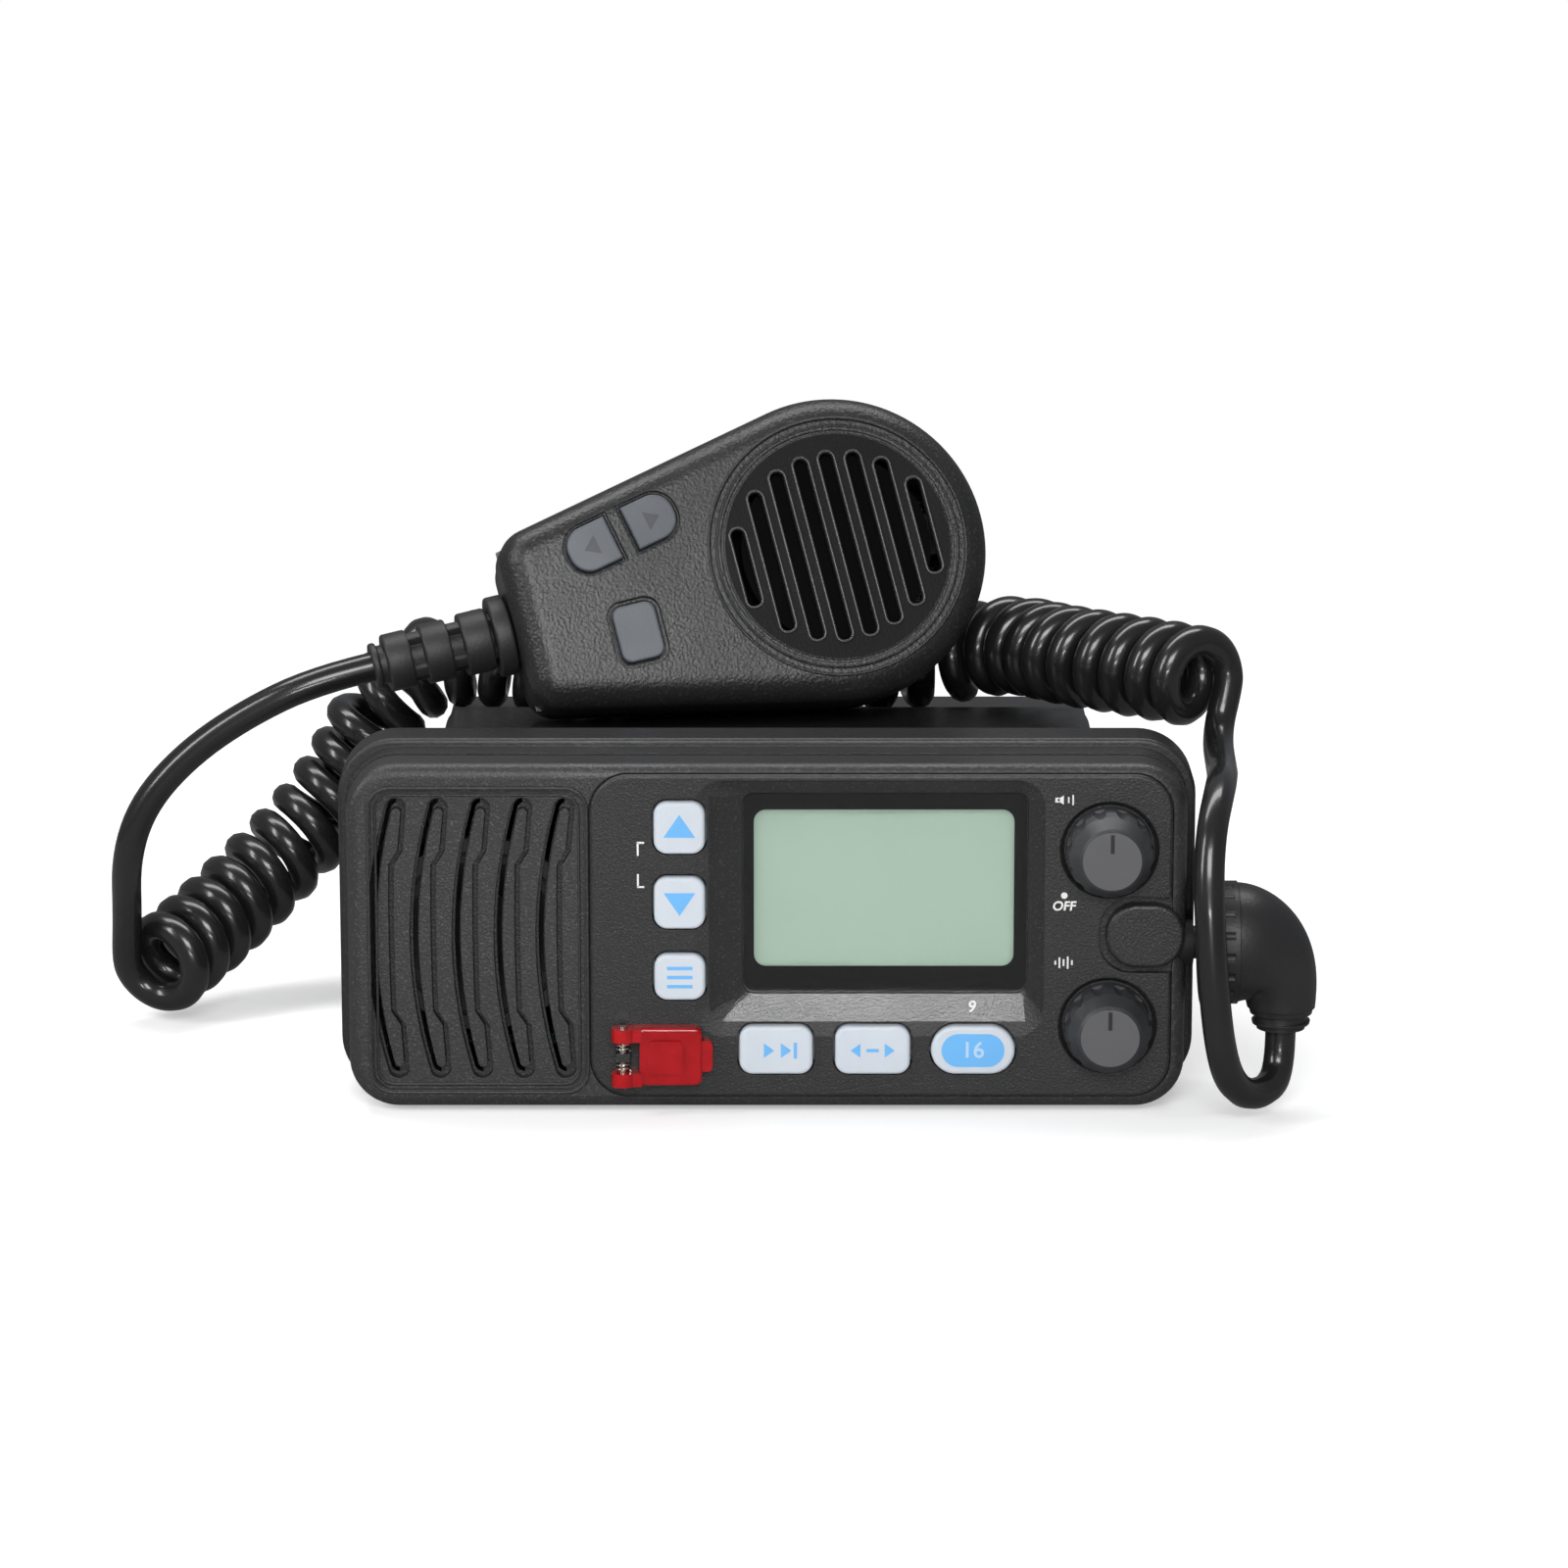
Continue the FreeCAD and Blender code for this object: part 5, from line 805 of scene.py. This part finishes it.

# Hand microphone: two moulded half shells with the same grain and painted glints, clamped on a
# thin grey gasket that shows as a light line.
MIC_CENTRE = Vector((13.3, 4.2, 93.9)) * MM
MIC_TURN = math.radians(8)
MIC_LEAN = math.radians(-20)
MIC_ROLL = math.radians(-12)
MIC_PLACE = (Matrix.Translation(MIC_CENTRE) @ Matrix.Rotation(MIC_TURN, 4, "Z")
             @ Matrix.Rotation(MIC_LEAN, 4, "X") @ Matrix.Rotation(MIC_ROLL, 4, "Y"))
handset_plastic = moulded("handset_plastic", (0.016, 0.016, 0.0165), 0.36, grain=1700,
                          depth=0.6, wear=0.14, gloss_wear=0.1, painted_glint=0.03, edge=0.4 * MM)
dress(handset_plastic, "handset_front", "handset_back")
dress(moulded("handset_gasket", (0.10, 0.10, 0.10), 0.4, grain=1400, depth=0.1),
      "handset_seal")
dress(moulded("handset_silicone", (0.085, 0.095, 0.11), 0.45, grain=2400, depth=0.12,
              wear=0.1, edge=0.4 * MM), "handset_key_up", "handset_key_down",
      "handset_key_power")
dress(moulded("talk_silicone", (0.07, 0.072, 0.075), 0.5, grain=1800, depth=0.2,
              edge=0.3 * MM), "talk_key")
dress(moulded("hanger_steel", (0.6, 0.58, 0.55), 0.28, grain=900, depth=0.04, metallic=1),
      "hanger_button")

# Slot lips: each sound opening of the microphone has a fine raised rim that catches the light. The
# rims are shinier than the shell, and their lighter colour is a painted highlight. The openings
# shorten towards the sides of the round face.
SLOT_REACH = 19.8
SLOT_SHARE = 0.9
SLOT_HALF = 1.3
SLOTS = [5 * k - 18 for k in range(8)]
LIP_OUTSET = 0.3
LIP_CORNER = 1.5
LIP_RADIUS = 0.34


def slot_half_length(x):
    """Half the length of the opening that lies this far from the face's middle."""
    return math.sqrt(SLOT_REACH ** 2 - x ** 2) * SLOT_SHARE


lips = []
for x in SLOTS:
    wide = SLOT_HALF + LIP_OUTSET
    tall = slot_half_length(x) + LIP_OUTSET
    lips.append(beaded(rounded_outline("lip", (x - wide, x + wide, -tall, tall), LIP_CORNER, 0,
                                       corner_steps=6), LIP_RADIUS, roundness=2))
slot_lips = placed(combined("slot_lips", *lips), MIC_PLACE)
# Lighter than the shell: a painted highlight on the rims.
belongs(slot_lips, "radio",
        moulded("lip_painted_highlight", (0.03, 0.03, 0.031), 0.24, grain=1800, depth=0.1, wear=0.15))

# Face rings: two fine raised rings moulded in the front shell, one inside the
# other, that frame the round face.
rings = []
for radius, thick in ((24.5, 0.3), (22.9, 0.22)):
    bpy.ops.object.select_all(action="DESELECT")
    bpy.ops.mesh.primitive_circle_add(vertices=120, radius=radius * MM,
                                      rotation=(math.pi / 2, 0, 0))
    ring = bpy.context.active_object
    bpy.ops.object.transform_apply(rotation=True)
    rings.append(beaded(ring, thick))
face_rings = placed(combined("face_rings", *rings), MIC_PLACE)
belongs(face_rings, "radio", handset_plastic)

# Microphone face: the round grille is smoother and darker than the shell. It is
# a thin skin with the same eight openings, bonded inside the inner ring.
SKIN_RADIUS = 21.4
SKIN_THICK = 0.1
SKIN_PROUD = 0.02
CUTTER_DEPTH = 2
OPENING_CORNER = 1.25
bpy.ops.object.select_all(action="DESELECT")
bpy.ops.mesh.primitive_cylinder_add(vertices=96, radius=SKIN_RADIUS * MM, depth=SKIN_THICK * MM,
                                    rotation=(math.pi / 2, 0, 0),
                                    location=(0, -SKIN_PROUD * MM, 0))
face_skin = bpy.context.active_object
face_skin.name = "face_skin"
bpy.ops.object.transform_apply(location=True, rotation=True)
cutters = []
for x in SLOTS:
    bpy.ops.object.select_all(action="DESELECT")
    bpy.ops.mesh.primitive_cube_add(size=1, location=(x * MM, 0, 0))
    cutter = bpy.context.active_object
    cutter.scale = (SLOT_HALF * 2 * MM, CUTTER_DEPTH * MM, slot_half_length(x) * 2 * MM)
    bpy.ops.object.transform_apply(location=True, scale=True)
    pick(cutter, "EDGE", lambda edge: abs(
        cutter.data.vertices[edge.vertices[0]].co.y
        - cutter.data.vertices[edge.vertices[1]].co.y) > MM)
    bpy.ops.mesh.bevel(offset=OPENING_CORNER * MM, segments=6)
    bpy.ops.object.mode_set(mode="OBJECT")
    cutters.append(cutter)
openings = combined("openings", *cutters)
cut = face_skin.modifiers.new("openings", "BOOLEAN")
cut.object = openings
alone(face_skin)
bpy.ops.object.modifier_apply(modifier="openings")
bpy.data.objects.remove(openings)
placed(face_skin, MIC_PLACE)
belongs(face_skin, "radio",
        moulded("face_skin", (0.009, 0.009, 0.0095), 0.5, grain=2200, depth=0.3, wear=0.1,
                specular=0.12))

# Microphone key marks: shallow arrows pointing away from each other, tinted
# darker than the caps.
PAD_CENTRE = Vector((-39.2, 0, 11.9)) * MM
PAD_ROLL = math.radians(-12)
MARK_WIDTH, MARK_TALL, MARK_REACH, MARK_DEPTH = 4.4, 3.6, 6.0, -0.5
PAD_PLACE = MIC_PLACE @ Matrix.Translation(PAD_CENTRE) @ Matrix.Rotation(PAD_ROLL, 4, "Y")
mark_grey = moulded("mark_grey", (0.055, 0.06, 0.07), 0.5, grain=2400, depth=0.05)
for key, away in (("handset_down", -1), ("handset_up", 1)):
    mark = flat_form(key + "_mark", 3, 0, 0, MARK_WIDTH, MARK_TALL, MARK_DEPTH * MM,
                     away * math.pi / 2)
    placed(mark, PAD_PLACE @ Matrix.Translation((away * MARK_REACH * MM, 0, 0)))
    body = key.replace("handset", "handset_key") + "_body"
    belongs(mark, body, mark_grey)

# Microphone boot: black rubber moulded over the cord in thick rings on a thinner
# core. Four narrow bars join them, and the square windows let it bend.
BOOT_ROOT_X = -62.6
BOOT_Y = 12.9
RINGS = ((0.3, 3.4, 7.7), (4.2, 5.4, 6.0), (12.0, 5.2, 5.7), (19.6, 4.8, 5.5),
         (25.6, 1.4, 4.4))
CORE = (0.2, 26.4, 3.7)
RING_EDGE = 0.5
BAR_LONG, BAR_WIDE, BAR_DEEP, BAR_EDGE = 22, 2.2, 2.4, 0.35
BAR_MIDDLE, BAR_RADIUS = 13.5, 4.0
BARS = 4
boot_rubber = moulded("boot_rubber", (0.020, 0.020, 0.021), 0.48, grain=1700, depth=0.2,
                      wear=0.2, edge=0.25 * MM)


def boot_ring(start, long, radius):
    """One round part of the boot, softened at both edges."""
    bpy.ops.object.select_all(action="DESELECT")
    bpy.ops.mesh.primitive_cylinder_add(vertices=40, radius=radius * MM, depth=long * MM,
                                        rotation=(0, math.pi / 2, 0),
                                        location=((BOOT_ROOT_X - start - long / 2) * MM,
                                                  BOOT_Y * MM, 0))
    piece = bpy.context.active_object
    bpy.ops.object.transform_apply(location=True, rotation=True)
    pick(piece, "FACE", lambda face: abs(face.normal.x) > 0.9)
    bpy.ops.mesh.region_to_loop()
    bpy.ops.mesh.bevel(offset=RING_EDGE * MM, segments=3)
    bpy.ops.object.mode_set(mode="OBJECT")
    return piece


boot_parts = [boot_ring(*ring) for ring in (*RINGS, CORE)]
for quarter in range(BARS):
    angle = math.pi / BARS + quarter * 2 * math.pi / BARS
    bpy.ops.object.select_all(action="DESELECT")
    bpy.ops.mesh.primitive_cube_add(size=1)
    bar = bpy.context.active_object
    placed(bar, Matrix.Diagonal((BAR_LONG * MM, BAR_WIDE * MM, BAR_DEEP * MM, 1)))
    bpy.ops.object.mode_set(mode="EDIT")
    bpy.ops.mesh.select_all(action="SELECT")
    bpy.ops.mesh.bevel(offset=BAR_EDGE * MM, segments=2)
    bpy.ops.object.mode_set(mode="OBJECT")
    placed(bar, Matrix.Translation((0, BOOT_Y * MM, 0)) @ Matrix.Rotation(angle, 4, "X")
           @ Matrix.Translation(((BOOT_ROOT_X - BAR_MIDDLE) * MM, 0, BAR_RADIUS * MM)))
    boot_parts.append(bar)
boot = placed(combined("microphone_boot", *boot_parts), MIC_PLACE)
bpy.ops.object.shade_smooth_by_angle(angle=math.radians(40))
belongs(boot, "radio", boot_rubber)
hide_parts("handset_boot")
